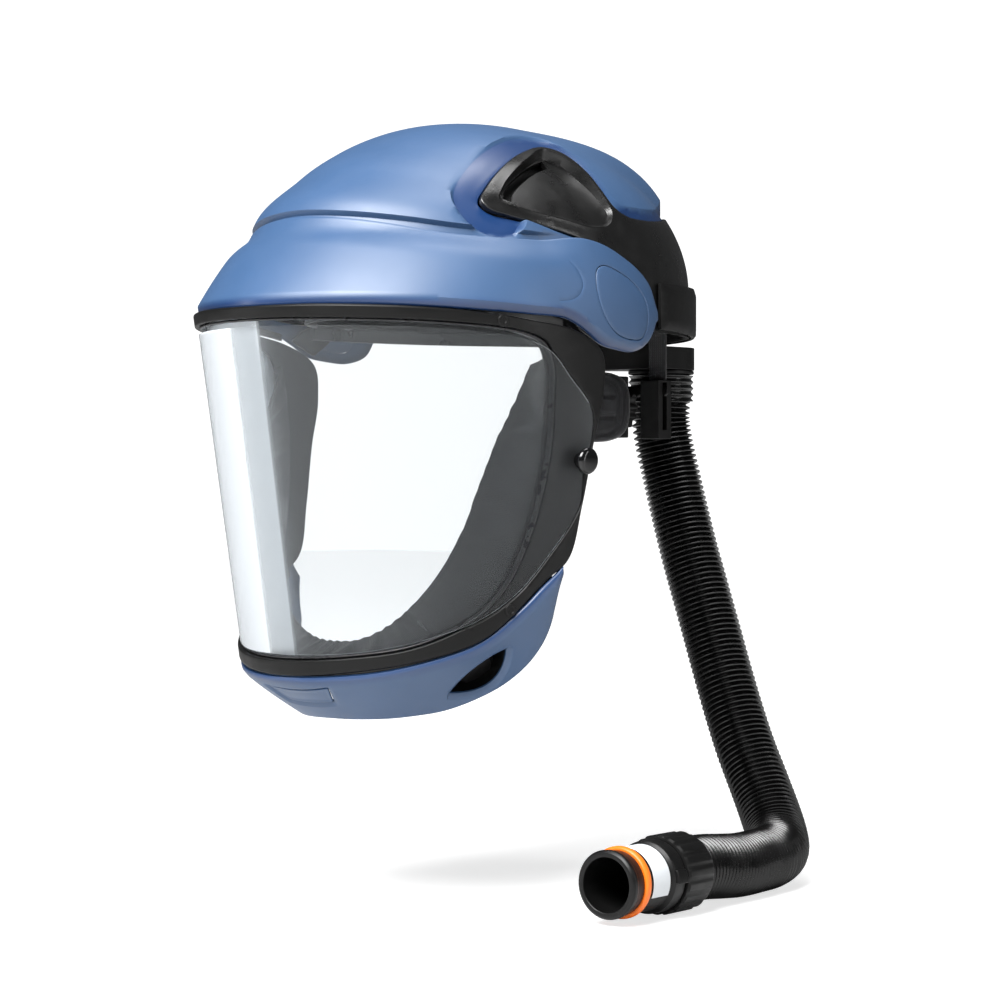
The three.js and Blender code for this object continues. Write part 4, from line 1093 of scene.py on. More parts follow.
def leaf(length, height):
    """Outline of an exhalation slot, pointed at both ends."""
    t = np.linspace(0, 1, 15)[:, None]

    def arc(a, b, c):
        return np.array(a) * (1 - t) ** 2 + np.array(b) * 2 * t * (1 - t) + np.array(c) * t * t
    a, b = (-length / 2, -height * 0.15), (length / 2, height * 0.5)
    upper = arc(a, (-length * 0.1, height * 0.72), b)
    under = arc(b, (length * 0.2, -height * 0.72), a)
    return even(np.vstack([upper[:-1], under[:-1]]), 0.9, True)


def badge_outline(surface, shrink):
    """Flat outline of the blank plaque on the middle of the chin."""
    centre = surface.point(np.array([[0, -BADGE["v"] * CHIN_TALL]]))[0]
    lower = surface.point(np.array([[0, -(BADGE["v"] + 0.01) * CHIN_TALL]]))[0]
    down = (lower - centre) / np.linalg.norm(lower - centre)
    t, l, h = BADGE["top"] - shrink, BADGE["low"] - shrink, BADGE["height"] / 2 - shrink
    corners = even([(-l, -h), (l, -h), (t, h), (-t, h)], 0.5, True)
    soft = corners.copy()
    for _ in range(3):
        soft = (np.roll(soft, 1, 0) + soft * 2 + np.roll(soft, -1, 0)) / 4
    points = [centre + np.array([1, 0, 0]) * x - down * y for x, y in even(soft, 0.9, True)]
    return to_flat(surface, points, np.linspace(-60, 60, 120), np.linspace(-CHIN_TALL, 0, 60))


LIP = 3.4            # height of the rolled lip along the guard's upper edge
SLOT_DIP, BADGE_DIP = 3.0, 2.6   # widths of the hollows round the slots and the plaque


def chin():
    surface = chin_surface()
    end = CHIN_END * DEGREE
    x = np.arange(-end, end + 0.1, 1.5)
    side = np.stack([[end] * 15, np.linspace(0, -CHIN_TALL, 17)[1:-1]], 1)
    top = np.stack([x, 0 * x], 1)
    foot = np.stack([x[::-1], 0 * x - CHIN_TALL], 1)
    loop = np.vstack([top, side, foot, mirrored(side)])
    along, across, _, centre = slot_frame(surface)
    shape = leaf(CHIN_SLOT["length"], CHIN_SLOT["height"])
    left = to_flat(surface, [centre + along * a + across * b for a, b in shape],
                   np.linspace(60, 160, 160), np.linspace(-CHIN_TALL, 0, 60))
    slots = [left, left * (-1, 1)]
    badge = badge_outline(surface, -0.35)
    holes = slots + [badge]
    lines = []
    for hole, reach in zip(holes, (SLOT_DIP, SLOT_DIP, BADGE_DIP)):
        lines += ridges(surface, hole, (0.15, 0.5, reach * 0.9, reach, reach * 1.15))
    lines += ridges(surface, loop, (-0.12, -0.5, -1.0))
    lines += [surface.shift(top[2:-2], k) for k in (LIP - 0.5, LIP, LIP + 0.5)]
    flat, p = cut(surface, loop, holes, lines, 1.9)
    to_top = far_from(p, surface.point(top))
    height = -eased(p, surface, loop, 1.0)
    height = height - 0.9 * (np.clip(LIP - to_top, 0, None) / LIP) ** 1.5 * 1.8
    for hole in slots:
        d = far_from(p, surface.point(hole), True)
        height = height - 1.7 * (1 - smoothstep(d, 0, SLOT_DIP)) - 0.3 * (1 - smoothstep(d, 0, 0.5))
    d = far_from(p, surface.point(badge), True)
    height = height - 1.3 * np.clip(1 - d / BADGE_DIP, 0, 1) - 0.25 * (1 - smoothstep(d, 0, 0.4))
    # Painted shade: a deeper blue along the rolled top lip, with a glossier finish.
    tint_and_painted_shade = 0.75 * (1 - smoothstep(to_top, LIP - 0.4, LIP + 0.3))
    piece = patch("chin_shell", surface, flat, height, CHIN_WALL, BLUE, 40, tint_and_painted_shade)
    finish_piece(piece, "visor", ["chin_guard"])
    for (name, _), q in zip(SIDES, slots):
        pocket(name, surface, q)
    chin_gasket()
    plate = badge_outline(surface, 0.1)
    flat, p = cut(surface, plate, [], ridges(surface, plate, (-0.1, -0.3, -0.9, -1.2)), 1.4)
    d = far_from(p, surface.point(plate), True)
    height = -1.0 - round_drop(d, 0.3) - 0.25 * smoothstep(d, 0.8, 1.3)
    piece = patch("blank_plaque", surface, flat, height, 1.9, BLUE, 38)
    finish_piece(piece, "visor", ["chin_badge"])


def rings_piece(name, rings, paint, middle):
    """Closed solid through rings of equal count; the last ring joins the first."""
    points = np.vstack(rings)
    faces = tube_faces(len(rings), len(rings[0]), True)
    a, b, c = (points[[f[k] for f in faces]] for k in range(3))
    if (np.cross(b - a, c - a) * (a - middle)).sum() < 0:
        faces = [f[::-1] for f in faces]
    return new_piece(name, points, faces, paint)


POCKET_DEPTH, BORE_R = 15.6, 6.4     # chamber behind a slot, and the valve's bore in its floor


def pocket(name, surface, hole):
    """Dark chamber behind an exhalation slot, open at the valve's bore."""
    side = np.array([1 if name == "left" else -1, 1, 1])
    along, across, out, centre = (v * side for v in slot_frame(surface))
    inner, outer = grow(surface, hole, 1.2), grow(surface, hole, 2.4)
    rim_in, rim_out = (surface.point(q) - surface.normal(q) * (CHIN_WALL + 0.4) for q in (inner, outer))

    def drop(points, depth):
        return points - out * ((points - centre) @ out + depth)[:, None]

    def bore(depth):
        d = drop(rim_out, depth) - centre + out * depth
        turn = np.arctan2(d @ across, d @ along)
        ring = np.cos(turn)[:, None] * along + np.sin(turn)[:, None] * across
        return centre - out * depth + BORE_R * ring
    deep, floor_at = POCKET_DEPTH, POCKET_DEPTH - 1.2
    rings = [rim_out, drop(rim_out, deep), bore(deep), bore(floor_at), drop(rim_in, floor_at), rim_in]
    piece = rings_piece(f"exhaust_pocket_{name}", rings, MATTE_BLACK, centre - out * 7)
    finish_piece(piece, "visor", ())


def chin_gasket():
    """Closes the joint between the visor's frame and the chin guard."""
    half = [(abs(a), z) for a, z in FRAME_HALF[::-1] if z < -100]
    turn = np.linspace(-77, 77, 155)
    high = edge_line(half)(np.abs(turn)) - 0.6
    low = edge_line(CHIN_TOP)(np.abs(turn)) - 4.0
    rows = [high * (1 - k) + low * k for k in np.linspace(0, 1, 5)]
    gasket("chin_joint", turn, rows, 0.35, 1.8, (0, -40, -150))


# ---------- hose and connector ----------
HOSE_ROUTE = [
    (8, 151.5, -46), (8, 151.5, -58), (9.5, 152.5, -70), (13, 153.8, -86), (19, 154, -107), (27, 153, -130),
    (36, 151.4, -152), (45.5, 149.5, -174.5), (55, 147, -196), (65.5, 144, -218), (76, 140.6, -237),
    (88, 136.6, -255), (99, 131.5, -269.5), (109, 124.5, -280.5), (117.5, 114.5, -287),
    (122.8, 100, -289.3), (126.6, 82, -289.5), (130, 62, -289.3), (132.3, 45, -288),
    (134.05, 27.6, -286.5), (135.53, 11.7, -286.2)]
HOSE_R, RIB_PITCH, RIB_DEEP = 16.5, 3.1, 2.4
CUFF_BORE = 15.55
COLLAR_R = 19.8
PLUG = dict(mouth=(142, -58, TABLE_Z + COLLAR_R), turn=-5.3, bore=13.4, tube=16.0, lip=16.9, body=18.0,
            length=70.0)


def rib(phase):
    """Depth below the crest of a corrugation, phase from 0 to 1."""
    return RIB_DEEP * (0.5 - 0.5 * np.cos(2 * math.pi * phase)) ** 1.3


def hose():
    fine = Curve(HOSE_ROUTE)(np.linspace(0, 1, 3000))
    run = travel(fine)
    length = run[-1]
    ribs = int(round(length / RIB_PITCH))
    per, around = 8, 48
    at = np.linspace(0, length, ribs * per + 1)
    centre = np.stack([np.interp(at, run, fine[:, k]) for k in range(3)], 1)
    tangent = np.gradient(centre, axis=0)
    tangent /= np.linalg.norm(tangent, axis=1)[:, None]
    up = np.cross(tangent[0], (1, 0, 0))
    turn = np.linspace(0, 2 * math.pi, around, endpoint=False)
    points, flat = [], []
    for s, c, t in zip(at, centre, tangent):
        up = up - t * up.dot(t)
        up /= np.linalg.norm(up)
        r = HOSE_R - rib((s / length * ribs) % 1)
        points.append(c + r * (np.cos(turn)[:, None] * up + np.sin(turn)[:, None] * np.cross(t, up)))
        flat += [(a * HOSE_R, s) for a in turn]
    rows = len(points)
    points = np.vstack(points + [centre[:1], centre[-1:]])
    flat += [(0, 0), (0, length)]
    faces = tube_faces(rows, around)
    first, last = rows * around, rows * around + 1
    for k in range(around):
        m = (k + 1) % around
        faces += [(first, m, k), (last, first - around + k, first - around + m)]
    piece = new_piece("breathing_hose", points, faces, HOSE_BLACK, 50, flat)
    piece.data.flip_normals()
    finish_piece(piece, "headtop", ["hose"])
    top = Matrix.Translation(HOSE_ROUTE[0])
    ridge_steps, ridge_count = 10, 4
    cuff = [(CUFF_BORE, 0.35)]
    for i in range(ridge_count * ridge_steps + 1):
        wave = (0.5 - 0.5 * math.cos(2 * math.pi * i / ridge_steps)) ** 0.8
        cuff.append((18.4 - 1.3 * wave, 0.35 + 14.3 * i / (ridge_count * ridge_steps)))
    cuff.append((CUFF_BORE, 14.65))
    sleeve = turned("ribbed_cuff", cuff, 72, HOSE_BLACK, top, "headtop", ["hose_cuff"], 50)
    socket = soften([(13, 3), (15.2, 3), (15.2, 15), (18.6, 15.6), (18.6, 17.4), (13, 17.4)], 0.4)
    turned("inlet_spigot", socket, 72, MATTE_BLACK, top, "headtop", ["inlet_socket"])
    return piece, sleeve, length * MM, [tuple(c * MM) for c in centre[::per]]


def plug_place():
    turn = math.radians(PLUG["turn"])
    return aim((math.sin(turn), math.cos(turn), 0), PLUG["mouth"])


def arc_block(r0, r1, half, z0, z1, name, paint, ramp=0.0):
    """Block that follows a circle about Z, from -half to half degrees, with one end ramped."""
    n = max(int(half / 2), 8)
    t = np.radians(np.linspace(-half, half, n + 1))
    grow_by = np.linspace(0, 1, n + 1) if ramp else np.ones(n + 1)
    pts, faces = [], []
    for a, g in zip(t, grow_by):
        top = r1 - ramp * (1 - g)
        for r, z in ((r0, z0), (top, z0), (top, z1), (r0, z1)):
            pts.append((r * math.cos(a), r * math.sin(a), z))
    for i in range(n):
        for k in range(4):
            m = (k + 1) % 4
            faces.append((4 * i + k, 4 * i + 4 + k, 4 * i + 4 + m, 4 * i + m))
    last = 4 * n
    faces += [(0, 1, 2, 3), (last + 3, last + 2, last + 1, last)]
    piece = new_piece(name, pts, faces, paint, 30)
    bevel(piece, min(0.35, 0.3 * (r1 - r0)))
    return piece


def bevel(piece, width, angle=35):
    mod = piece.modifiers.new("edges", "BEVEL")
    mod.width, mod.segments, mod.limit_method = width * MM, 2, "ANGLE"
    mod.angle_limit = math.radians(angle)
    mod.harden_normals = False


def grip_collar(inner, z0, z1):
    """Bayonet collar about Z, with finger dents round its wide part."""
    lobes = 18
    steps = lobes * 10
    rows = [(inner, z0), (inner + 1.6, z0), (COLLAR_R - 0.9, z0 + 0.2), (COLLAR_R, z0 + 1.4),
            (COLLAR_R, z1 - 3.5), (COLLAR_R - 1.1, z1 - 1.2), (inner + 1.4, z1), (inner, z1)]
    pts = []
    for i, (r, z) in enumerate(rows):
        for k in range(steps):
            a = 2 * math.pi * k / steps
            dent = 1.3 * np.clip(-0.2 - math.cos(a * lobes), 0, 0.5) if 3 <= i <= 4 else 0
            pts.append(((r - dent) * math.cos(a), (r - dent) * math.sin(a), z))
    return new_piece("grip_collar", pts, tube_faces(len(rows), steps, True), MATTE_BLACK, 32)


def connector():
    b, t, lip, body, end = (PLUG[k] for k in ("bore", "tube", "lip", "body", "length"))
    spot = plug_place()
    tail = soften([
        (b, 0.3), (b + 0.6, 0), (t - 0.4, 0), (lip, 1.2), (lip, 3.4), (t, 4.6), (t, 10), (t - 1.2, 10),
        (t - 1.2, 15), (t, 15), (t, 33), (body, 34.4), (body, 43), (t - 0.6, 43.6), (t - 0.6, end - GAP),
        (b, end - GAP)], 0.45, 3)
    pieces = [turned("plug_tail", tail, 96, SATIN_BLACK, spot, "headtop", ["connector_tail"])]
    for i, a in enumerate((0, 180)):
        lug = arc_block(body - 0.6, body + 2.6, 10, 34.6, 42.6, f"plug_lug_{i}", SATIN_BLACK, 1.6)
        place(lug, Matrix.Rotation(math.radians(a), 4, "Z"))
        pieces.append(finish_piece(place(lug, spot), "headtop", ()))
    ring = soften([(t - 0.85, 10.4), (t + 0.9, 10.4), (t + 1.7, 11.4), (t + 1.7, 13.6), (t + 0.9, 14.6),
                   (t - 0.85, 14.6)], 0.8, 4)
    pieces.append(turned("seal_ring", ring, 96, ORANGE, spot, "headtop", ["o_ring"]))
    label = arc_block(t + GAP, t + 0.75, 62, 17.2, 31.4, "blank_label", PALE)
    place(label, Matrix.Rotation(-0.55, 4, "Z"))
    pieces.append(finish_piece(place(label, spot), "headtop", ["label_band"]))
    collar = place(grip_collar(t, 44.2, end - GAP - 0.4), spot)
    pieces.append(finish_piece(collar, "collar", ["lock_collar"]))
    return pieces


# ---------- soft goods ----------
SEAL_WEAVE = 45.0    # width of the weave's pattern across the seal
SEAL_GATHERS = 46    # folds along the seal's free edge
SEAL_OUT = [(79, -46), (77.5, -66), (74, -92), (68, -118), (61, -140), (48, -158), (32, -168.5), (14, -173),
            (0, -174)]
SEAL_IN = [
    (88, -64, -54), (82, -70, -72), (77, -76, -92), (70, -81, -115), (60, -87, -136), (46, -92, -153),
    (30, -96, -165), (14, -98.5, -171), (0, -99, -172)]


def grid_shell(name, points, thickness, paint, middle, sharp, flat):
    """Closed shell under a grid of points [row][column]."""
    p = np.asarray(points, float)
    rows, cols = p.shape[:2]
    n = np.cross(np.gradient(p, axis=0), np.gradient(p, axis=1))
    n /= np.maximum(np.linalg.norm(n, axis=2), 1e-9)[..., None]
    flip = ((p - np.asarray(middle)) * n).sum() < 0
    if flip:
        n = -n
    both_sides = np.vstack([p.reshape(-1, 3), (p - n * thickness).reshape(-1, 3)])
    shift = rows * cols
    faces = []
    for j in range(rows - 1):
        for a in range(j * cols, (j + 1) * cols - 1):
            b, c, d = a + 1, a + cols + 1, a + cols
            faces += [(a, d, c, b), (a + shift, b + shift, c + shift, d + shift)]
    edge = list(range(cols)) + [j * cols + cols - 1 for j in range(1, rows)]
    edge += [(rows - 1) * cols + i for i in range(cols - 2, -1, -1)]
    edge += [j * cols for j in range(rows - 2, 0, -1)]
    faces += [(a, b, b + shift, a + shift) for a, b in zip(edge, edge[1:] + edge[:1])]
    if flip:
        faces = [f[::-1] for f in faces]
    uv = np.vstack([np.asarray(flat).reshape(-1, 2)] * 2)
    return new_piece(name, both_sides, faces, paint, sharp, uv)


def mirrored_curve(points):
    """Curve through points that end on the middle plane, then through their mirror images."""
    half = [tuple(p) for p in points]
    return Curve(half + [(-x, y, z) for x, y, z in half[-2::-1]])


def face_seal():
    """Elasticated cloth from the frame to the wearer's cheeks and chin, gathered at its free edge."""
    frame_line = grow(VISOR, WINDOW, LENS_LAP - 0.5)
    flat = np.array([(a * DEGREE, z) for a, z in [(80, -30)] + SEAL_OUT], float)
    flat = np.array([frame_line[np.argmin(((frame_line - q) ** 2).sum(1))] for q in flat])
    flat[-1, 0] = 0
    anchor = VISOR.point(flat) + VISOR.normal(flat) * (-FRAME_WALL - LENS_WALL - 3.6)
    outer, inner = mirrored_curve(anchor), mirrored_curve([(90, -54, -34)] + SEAL_IN)
    cols, rows = 520, 30
    u = np.linspace(0, 1, cols)
    v = np.linspace(0, 1, rows)[:, None, None]
    a, b = outer(u)[None], inner(u)[None]
    rng = np.random.default_rng(7)
    way = b - a
    out = np.cross(np.gradient(a[0], axis=0), way[0])
    out /= np.linalg.norm(out, axis=1)[:, None]
    out[(out * (a[0] - np.array((0, -40, -60)))).sum(1) < 0] *= -1
    phase = np.cumsum(rng.normal(1, 0.3, cols))
    phase *= 2 * math.pi * SEAL_GATHERS / phase[-1]
    fine = np.sin(phase)[None, :, None] * (0.75 + 0.25 * np.sin(phase * 0.13))[None, :, None]
    broad = np.sin(phase * 0.31 + 1.0)[None, :, None]
    bulge = np.sin(np.pi * v)
    puff = bulge * (2.0 + 1.0 * broad)
    ripple = 0.4 * v ** 1.2 * fine + 0.8 * bulge * np.sin(phase * 0.5 + v[:, :, 0] * 2.2)[:, :, None]
    points = a + way * v + out[None] * (puff + ripple)
    along = np.cumsum(np.linalg.norm(np.gradient(outer(u), axis=0), axis=1))
    flat = np.stack(np.broadcast_arrays(along[None], SEAL_WEAVE * v[:, :, 0]), -1)
    piece = grid_shell("face_curtain", points, 0.8, CLOTH, (0, -60, -60), 80, flat)
    finish_piece(piece, "visor", ["face_seal"])
    span = np.linalg.norm(np.diff(outer(u), axis=0), axis=1).sum()


# ---------- pivots ----------
def plane(origin, x_axis, y_axis):
    """Flat surface whose outer side is where x_axis cross y_axis points."""
    o, a, b = (np.asarray(v, float) for v in (origin, x_axis, y_axis))
    return Surface(lambda q: o + q[..., :1] * a + q[..., 1:2] * b, o - np.cross(a, b) * 50)


def slab(name, surface, outline, thick, paint, radius, holes, spacing, relief=None, marks=()):
    """Plate of a flat outline with rounded edges on both faces."""
    rims = [np.asarray(outline)] + [np.asarray(h) for h in holes]
    lines = list(marks)
    for i, rim in enumerate(rims):
        lines += ridges(surface, rim, [(radius if i else -radius) * k for k in ROUND_LINES])
    flat, p = cut(surface, rims[0], rims[1:], lines, spacing)
    drop = round_drop(np.min([far_from(p, surface.point(r), True) for r in rims], axis=0), radius)
    height = -drop + (relief(flat[0]) if relief else 0)
    return patch(name, surface, flat, height, thick - drop, paint, 34)


def ring_line(r, count=40, centre=(0, 0)):
    t = np.linspace(0, 2 * math.pi, count, endpoint=False)
    return np.stack([centre[0] + r * np.cos(t), centre[1] + r * np.sin(t)], 1)


def pivots():
    turn = math.pi - np.arange(0, 16) / 16 * 1.25 * math.pi
    arm = np.vstack([9.5 * np.stack([np.cos(turn), np.sin(turn)], 1),
                     [(-6, -16), (-16, -22.5), (-30, -16.2), (-32, -14)]])
    arm = even(arm, 1.0, True)
    hole, well = ring_line(5.2), close(ring_line(7.4, 48))

    def relief(q):
        return -0.35 * (1 - smoothstep(np.linalg.norm(q, axis=1), 7.2, 7.6))
    pin = soften([(0, 0), (8, 0), (8, 2.4), (5, 2.4), (5, 12.8), (2.7, 12.8), (2.3, 11.4), (0, 11.4)], 0.4)
    washer = soften([(5.35, 0), (12, 0), (12, 2), (5.35, 2)], 0.45)
    for name, side in SIDES:
        surface = plane((side * 103.2, 0, 0), (0, side, 0), (0, 0, 1))
        flip = (side, 1)
        piece = slab(f"pivot_arm_{name}", surface, arm * flip, 1.9, MATTE_BLACK, 0.5, [hole * flip], 2.2,
                     relief, [well])
        finish_piece(piece, "visor", [f"hinge_arm_{name}"])
        turned(f"pivot_post_{name}", pin, 48, STEEL, aim((side, 0, 0), (side * 91, 0, 0)),
               "headtop", [f"pivot_pin_{name}"])
        turned(f"glide_ring_{name}", washer, 56, PALE, aim((side, 0, 0), (side * 99, 0, 0)),
               "headtop", [f"friction_washer_{name}"])


# ---------- harness ----------
def inflate(piece, voxel, pressure, limit, frames):
    """Blows a closed form up as cloth, then keeps each point within limit millimetres of its start."""
    scene = bpy.context.scene
    mod = piece.modifiers.new("remesh", "REMESH")
    mod.mode, mod.voxel_size, mod.use_smooth_shade = "VOXEL", voxel * MM, True
    bake(piece)
    start = coordinates(piece.data)
    mod = piece.modifiers.new("cloth", "CLOTH")
    values = dict(quality=5, mass=0.15, time_scale=0.6, tension_stiffness=40, compression_stiffness=40,
                  shear_stiffness=20, bending_stiffness=1.5, use_pressure=True,
                  uniform_pressure_force=pressure)
    for key, value in values.items():
        setattr(mod.settings, key, value)
    mod.settings.effector_weights.gravity = 0
    mod.collision_settings.use_collision = False
    for f in range(1, frames + 1):
        scene.frame_set(f)
    bake(piece)
    scene.frame_set(1)
    move = coordinates(piece.data) - start
    far = np.linalg.norm(move, axis=1)[:, None]
    move *= np.minimum(1, limit * MM / np.maximum(far, 1e-9))
    reshape(piece, start + move)


def reshape(piece, points):
    piece.data.vertices.foreach_set("co", points.ravel())
    piece.data.update()


def coordinates(mesh):
    out = np.empty(len(mesh.vertices) * 3)
    mesh.vertices.foreach_get("co", out)
    return out.reshape(-1, 3)


def bake(piece):
    """Replaces a piece's mesh by what its modifiers make of it."""
    bpy.context.view_layer.update()
    graph = bpy.context.evaluated_depsgraph_get()
    made = bpy.data.meshes.new_from_object(piece.evaluated_get(graph))
    piece.modifiers.clear()
    looks = list(piece.data.materials)
    piece.data = made
    made.materials.clear()
    for look in looks:
        made.materials.append(look)


def stitches(name, line, gap, reach, r=0.3):
    """A row of raised thread dashes along a line of points on the headtop."""
    at = even(line, gap)
    points, faces = [], []
    for a, b in zip(at, at[1:]):
        way = (b - a) / np.linalg.norm(b - a)
        side = np.cross(way, (0.3, 0.5, 0.81))
        side /= np.linalg.norm(side)
        up = np.cross(way, side)
        base = len(points)
        for t, k in ((-1, 0.35), (-0.7, 1), (0.7, 1), (1, 0.35)):
            mid = (a + b) / 2 + way * t * reach / 2
            points += [mid + r * k * (side * math.cos(turn) + up * math.sin(turn))
                       for turn in np.arange(6) * math.pi / 3]
        faces += [tuple(base + v for v in f) for f in tube_faces(4, 6)]
        faces += [tuple(base + k for k in range(5, -1, -1)), tuple(base + 18 + k for k in range(6))]
    return finish_piece(new_piece(name, points, faces, THREAD, 60), "headtop", ())


HEAD = dict(a=79.0, b=99.0, cy=-1.0)
PAD = dict(a=76.6, b=96.6, cy=-1.0, reach=58.0, low=-11.0, high=16.0, thick=3.4)
NAPE = dict(z=-50.0, y=107.0, clip=39.0)


def head_harness():
    band = ellipse_band(**HEAD)
    loop = band_loop(-112, 112, lambda u: -8 + 0 * u, lambda u: 14 + 0 * u)
    notches = [ring_line(1.6, 20, (2 * turn, 3)) for turn in [*range(-104, -68, 7), *range(69, 105, 7)]]

    def groove(q):
        return -0.5 * smoothstep(np.minimum(q[:, 1] + 8, 14 - q[:, 1]), 3.0, 3.8)
    rails = [np.stack([np.arange(-210, 211, 2.0), np.full(211, z)], 1) for z in (-5, -4.2, 10.2, 11)]
    piece = slab("head_belt", band, loop, 2.0, MATTE_BLACK, 0.6, notches, 3.0, groove, rails)
    finish_piece(piece, "headtop", ["headband"])

    a, b, cy, reach, low, high, thick = (PAD[k] for k in ("a", "b", "cy", "reach", "low", "high", "thick"))
    loop = band_loop(0.5 - reach, reach - 0.5, lambda u: low + 0.6 + 0 * u, lambda u: high - 0.6 + 0 * u)
    pad = slab("brow_cushion", ellipse_band(a - 0.4, b - 0.4, cy), loop, thick - 0.8, PADDING, 1.1, (), 3.0)
    inflate(pad, 1.1, 3.0, 1.1, 12)
    p = coordinates(pad.data) / MM
    turn = np.arctan2(p[:, 0] / a, -(p[:, 1] - cy) / b)
    mid = np.stack([(a - thick / 2) * np.sin(turn), cy - (b - thick / 2) * np.cos(turn), p[:, 2]], 1)
    seam = np.abs(np.minimum(p[:, 2] - low, high - p[:, 2]) - 3.4)
    ribs = np.abs((np.degrees(turn) + 6) % 12 - 6) * 1.6
    pull = np.maximum(0.5 * np.exp(-(seam / 0.8) ** 2), 0.38 * np.exp(-(ribs / 1.1) ** 2) * (seam > 0))
    reshape(pad, (p + (mid - p) * pull[:, None]) * MM)
    finish_piece(pad, "headtop", ["sweatband"])

    across = np.linspace(-10, 10, 15)
    weave = -0.25 * (np.abs(across) < 8.6) + 0.12 * np.sin(across * 2.4)
    grid = np.array([[(79.4 * math.sin(t), y, 14 + 60 * math.cos(t) + rise)
                      for t in np.radians(np.linspace(-84, 84, 90))] for y, rise in zip(across, weave)])
    length = 2 * 84 * math.pi / 180 * 72
    flat = np.array([[(length * k / 89, y) for k in range(90)] for y in across])
    strap = grid_shell("crown_webbing", grid, 1.4, WEBBING, (0, 0, 0), 60, flat)
    finish_piece(strap, "headtop", ["crown_strap"])
    for name, side in SIDES:
        ends = np.array([(side * 79.6 * math.sin(math.radians(t)), y, 14.2 + 60 * math.cos(math.radians(t)))
                         for t, y in ((80, -8), (80, 8), (72, 8), (72, -8), (80, -8))])
        stitches(f"crown_stitch_{name}", ends, 2.6, 1.8)


def upright(x, y, z):
    """Upright plane that faces the back, flat x towards the wearer's right."""
    return plane((x, y, z), (-1, 0, 0), (0, 0, 1))


def nape_strap(name, side):
    x, y = side * NAPE["clip"], NAPE["y"]
    outline = even([(-5.8, -13.6), (5.8, -13.6), (5.8, 13.6), (-5.8, 13.6)], 1.2, True)
    strap = slab(f"nape_webbing_{name}", upright(x, y + 3.8, -21.9), outline, 1.5, WEBBING, 0.35, (), 1.4,
                 lambda q: 0.08 * np.sin(q[:, 1] * 2.6))
    finish_piece(strap, "headtop", [f"nape_strap_{name}"])
    ends = np.array([(x + dx, y + 4.0, z) for dx, z in ((-4, -11), (4, -11), (4, -16), (-4, -16), (-4, -11))])
    stitches(f"nape_stitch_{name}", ends, 2.4, 1.6, 0.22)


def size_rack(name, side):
    """Toothed rack from behind the dial to past its clip; its teeth point at the pinion."""
    low, high = sorted((-side * 13, side * (NAPE["clip"] + 9)))
    count, teeth = 16, [(low, side * 3)]
    for k in range(count):
        a, b = (low + (high - low) * (k + half) / count for half in (0, 0.5))
        teeth += [(a + 0.3, -side * 1.7), (a + 0.9, -side * 3), (b, -side * 3), (b + 0.6, -side * 1.7)]
    teeth += [(high, -side * 1.7), (high, side * 3)]
    teeth = even(teeth, 0.7, True) * (-1, 1)
    surface = upright(0, NAPE["y"] + 2.4, NAPE["z"] + side * 8.35)
    rack = slab(f"size_rack_{name}", surface, teeth, 2.4, MATTE_BLACK, 0.25, (), 2.0)
    finish_piece(rack, f"{name}_rack", [f"nape_rack_{name}"])


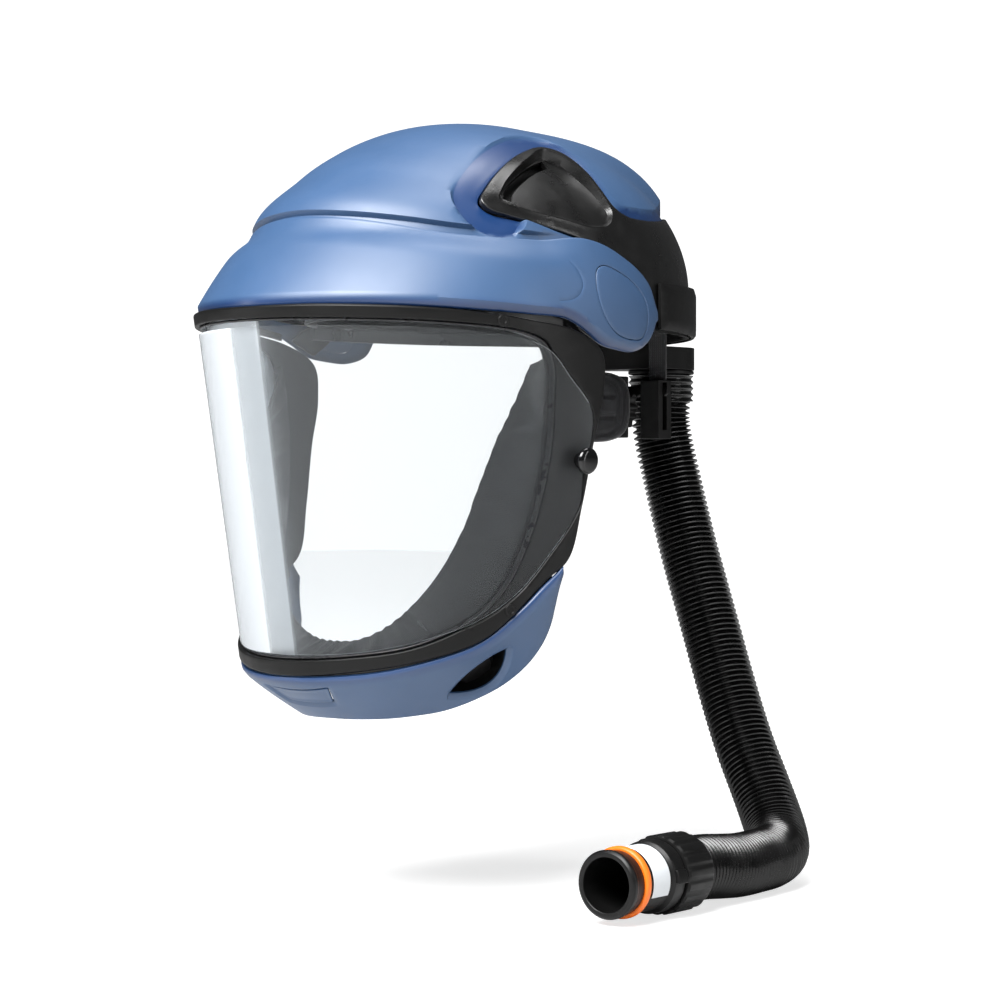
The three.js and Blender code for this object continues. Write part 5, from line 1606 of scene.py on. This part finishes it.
def nape_harness():
    z, y = NAPE["z"], NAPE["y"]
    for name, side in SIDES:
        nape_strap(name, side)
        size_rack(name, side)
    lobes = 16
    turn = np.linspace(0, 2 * math.pi, lobes * 12, endpoint=False)
    r = 15 - 0.8 * (1 - np.cos(turn * lobes))
    outline = np.stack([r * np.cos(turn), r * np.sin(turn)], 1)

    def dish(q):
        d = np.linalg.norm(q, axis=1)
        return -1.1 * (1 - smoothstep(d, 8.6, 10.4)) + 0.5 * (1 - smoothstep(d, 2.8, 3.6))
    rings = [close(ring_line(k, 60)) for k in (2.8, 3.6, 8.6, 9.5, 10.4)]
    knob = slab("ratchet_dial", upright(0, y + 16, z), outline, 9.0, SATIN_BLACK, 1.0, (), 2.0, dish, rings)
    finish_piece(knob, "ratchet", ["ratchet_knob"])

    turn = np.linspace(0, 2 * math.pi, 60, endpoint=False)
    way = np.stack([np.cos(turn), np.sin(turn)], 1)
    outline = even((26.5, 19.5) * np.sign(way) * np.abs(way) ** (2 / 3.2), 2.0, True)
    surface = upright(0, y - 4.1, z)
    pad = slab("nape_cushion", surface, outline, 6.2, PADDING, 2.4, (), 3.0)
    inflate(pad, 1.5, 4.0, 2.6, 16)
    p = coordinates(pad.data) / MM
    q = np.stack([-p[:, 0], p[:, 2] - z], 1)
    channel = 0.42 * np.exp(-(far_from(q, grow(surface, outline, -3.6), True) / 0.9) ** 2)
    tufts = 0.5 * np.exp(-(np.abs(np.abs(q[:, 1]) - 5.5) / 0.9) ** 2) * (np.abs(q[:, 0]) < 20)
    p[:, 1] += (y - 7.2 - p[:, 1]) * np.maximum(channel, tufts)
    p[:, 1] = np.clip(p[:, 1], y - 12.2, y - 2.75)
    reshape(pad, p * MM)
    finish_piece(pad, "headtop", ["nape_pad"])


def dress(nodes, paint, width):
    """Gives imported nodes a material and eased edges. Their meshes stay as they are."""
    for name in nodes:
        node = NODES[name]
        for slot in node.material_slots:
            slot.material = paint
        weld = node.modifiers.new("weld", "WELD")
        weld.merge_threshold = 0.00002
        flat = node.modifiers.new("planes", "DECIMATE")
        flat.decimate_type, flat.angle_limit = "DISSOLVE", math.radians(2)
        bevel(node, width, 28)


def kept_nodes():
    dress(["air_diffuser", "plenum_plate", "ratchet_pinion"], MATTE_BLACK, 0.3)
    dress(["ratchet_housing", "inlet_elbow"] + [f"nape_clip_{n}" for n, _ in SIDES], MATTE_BLACK, 0.7)
    dress([f"{part}_{n}" for part in ("harness_clip", "valve_seat") for n, _ in SIDES], MATTE_BLACK, 0.4)
    dress([f"valve_flap_{n}" for n, _ in SIDES], RUBBER, 0.25)


camera()
studio()
floor()
crown()
rear_cover()
rear_band()
liner()
brow()
visor_parts()
visor_small_parts()
chin()
tube, cuff, hose_length, hose_path = hose()
plug = connector()
face_seal()
pivots()
head_harness()
nape_harness()
kept_nodes()
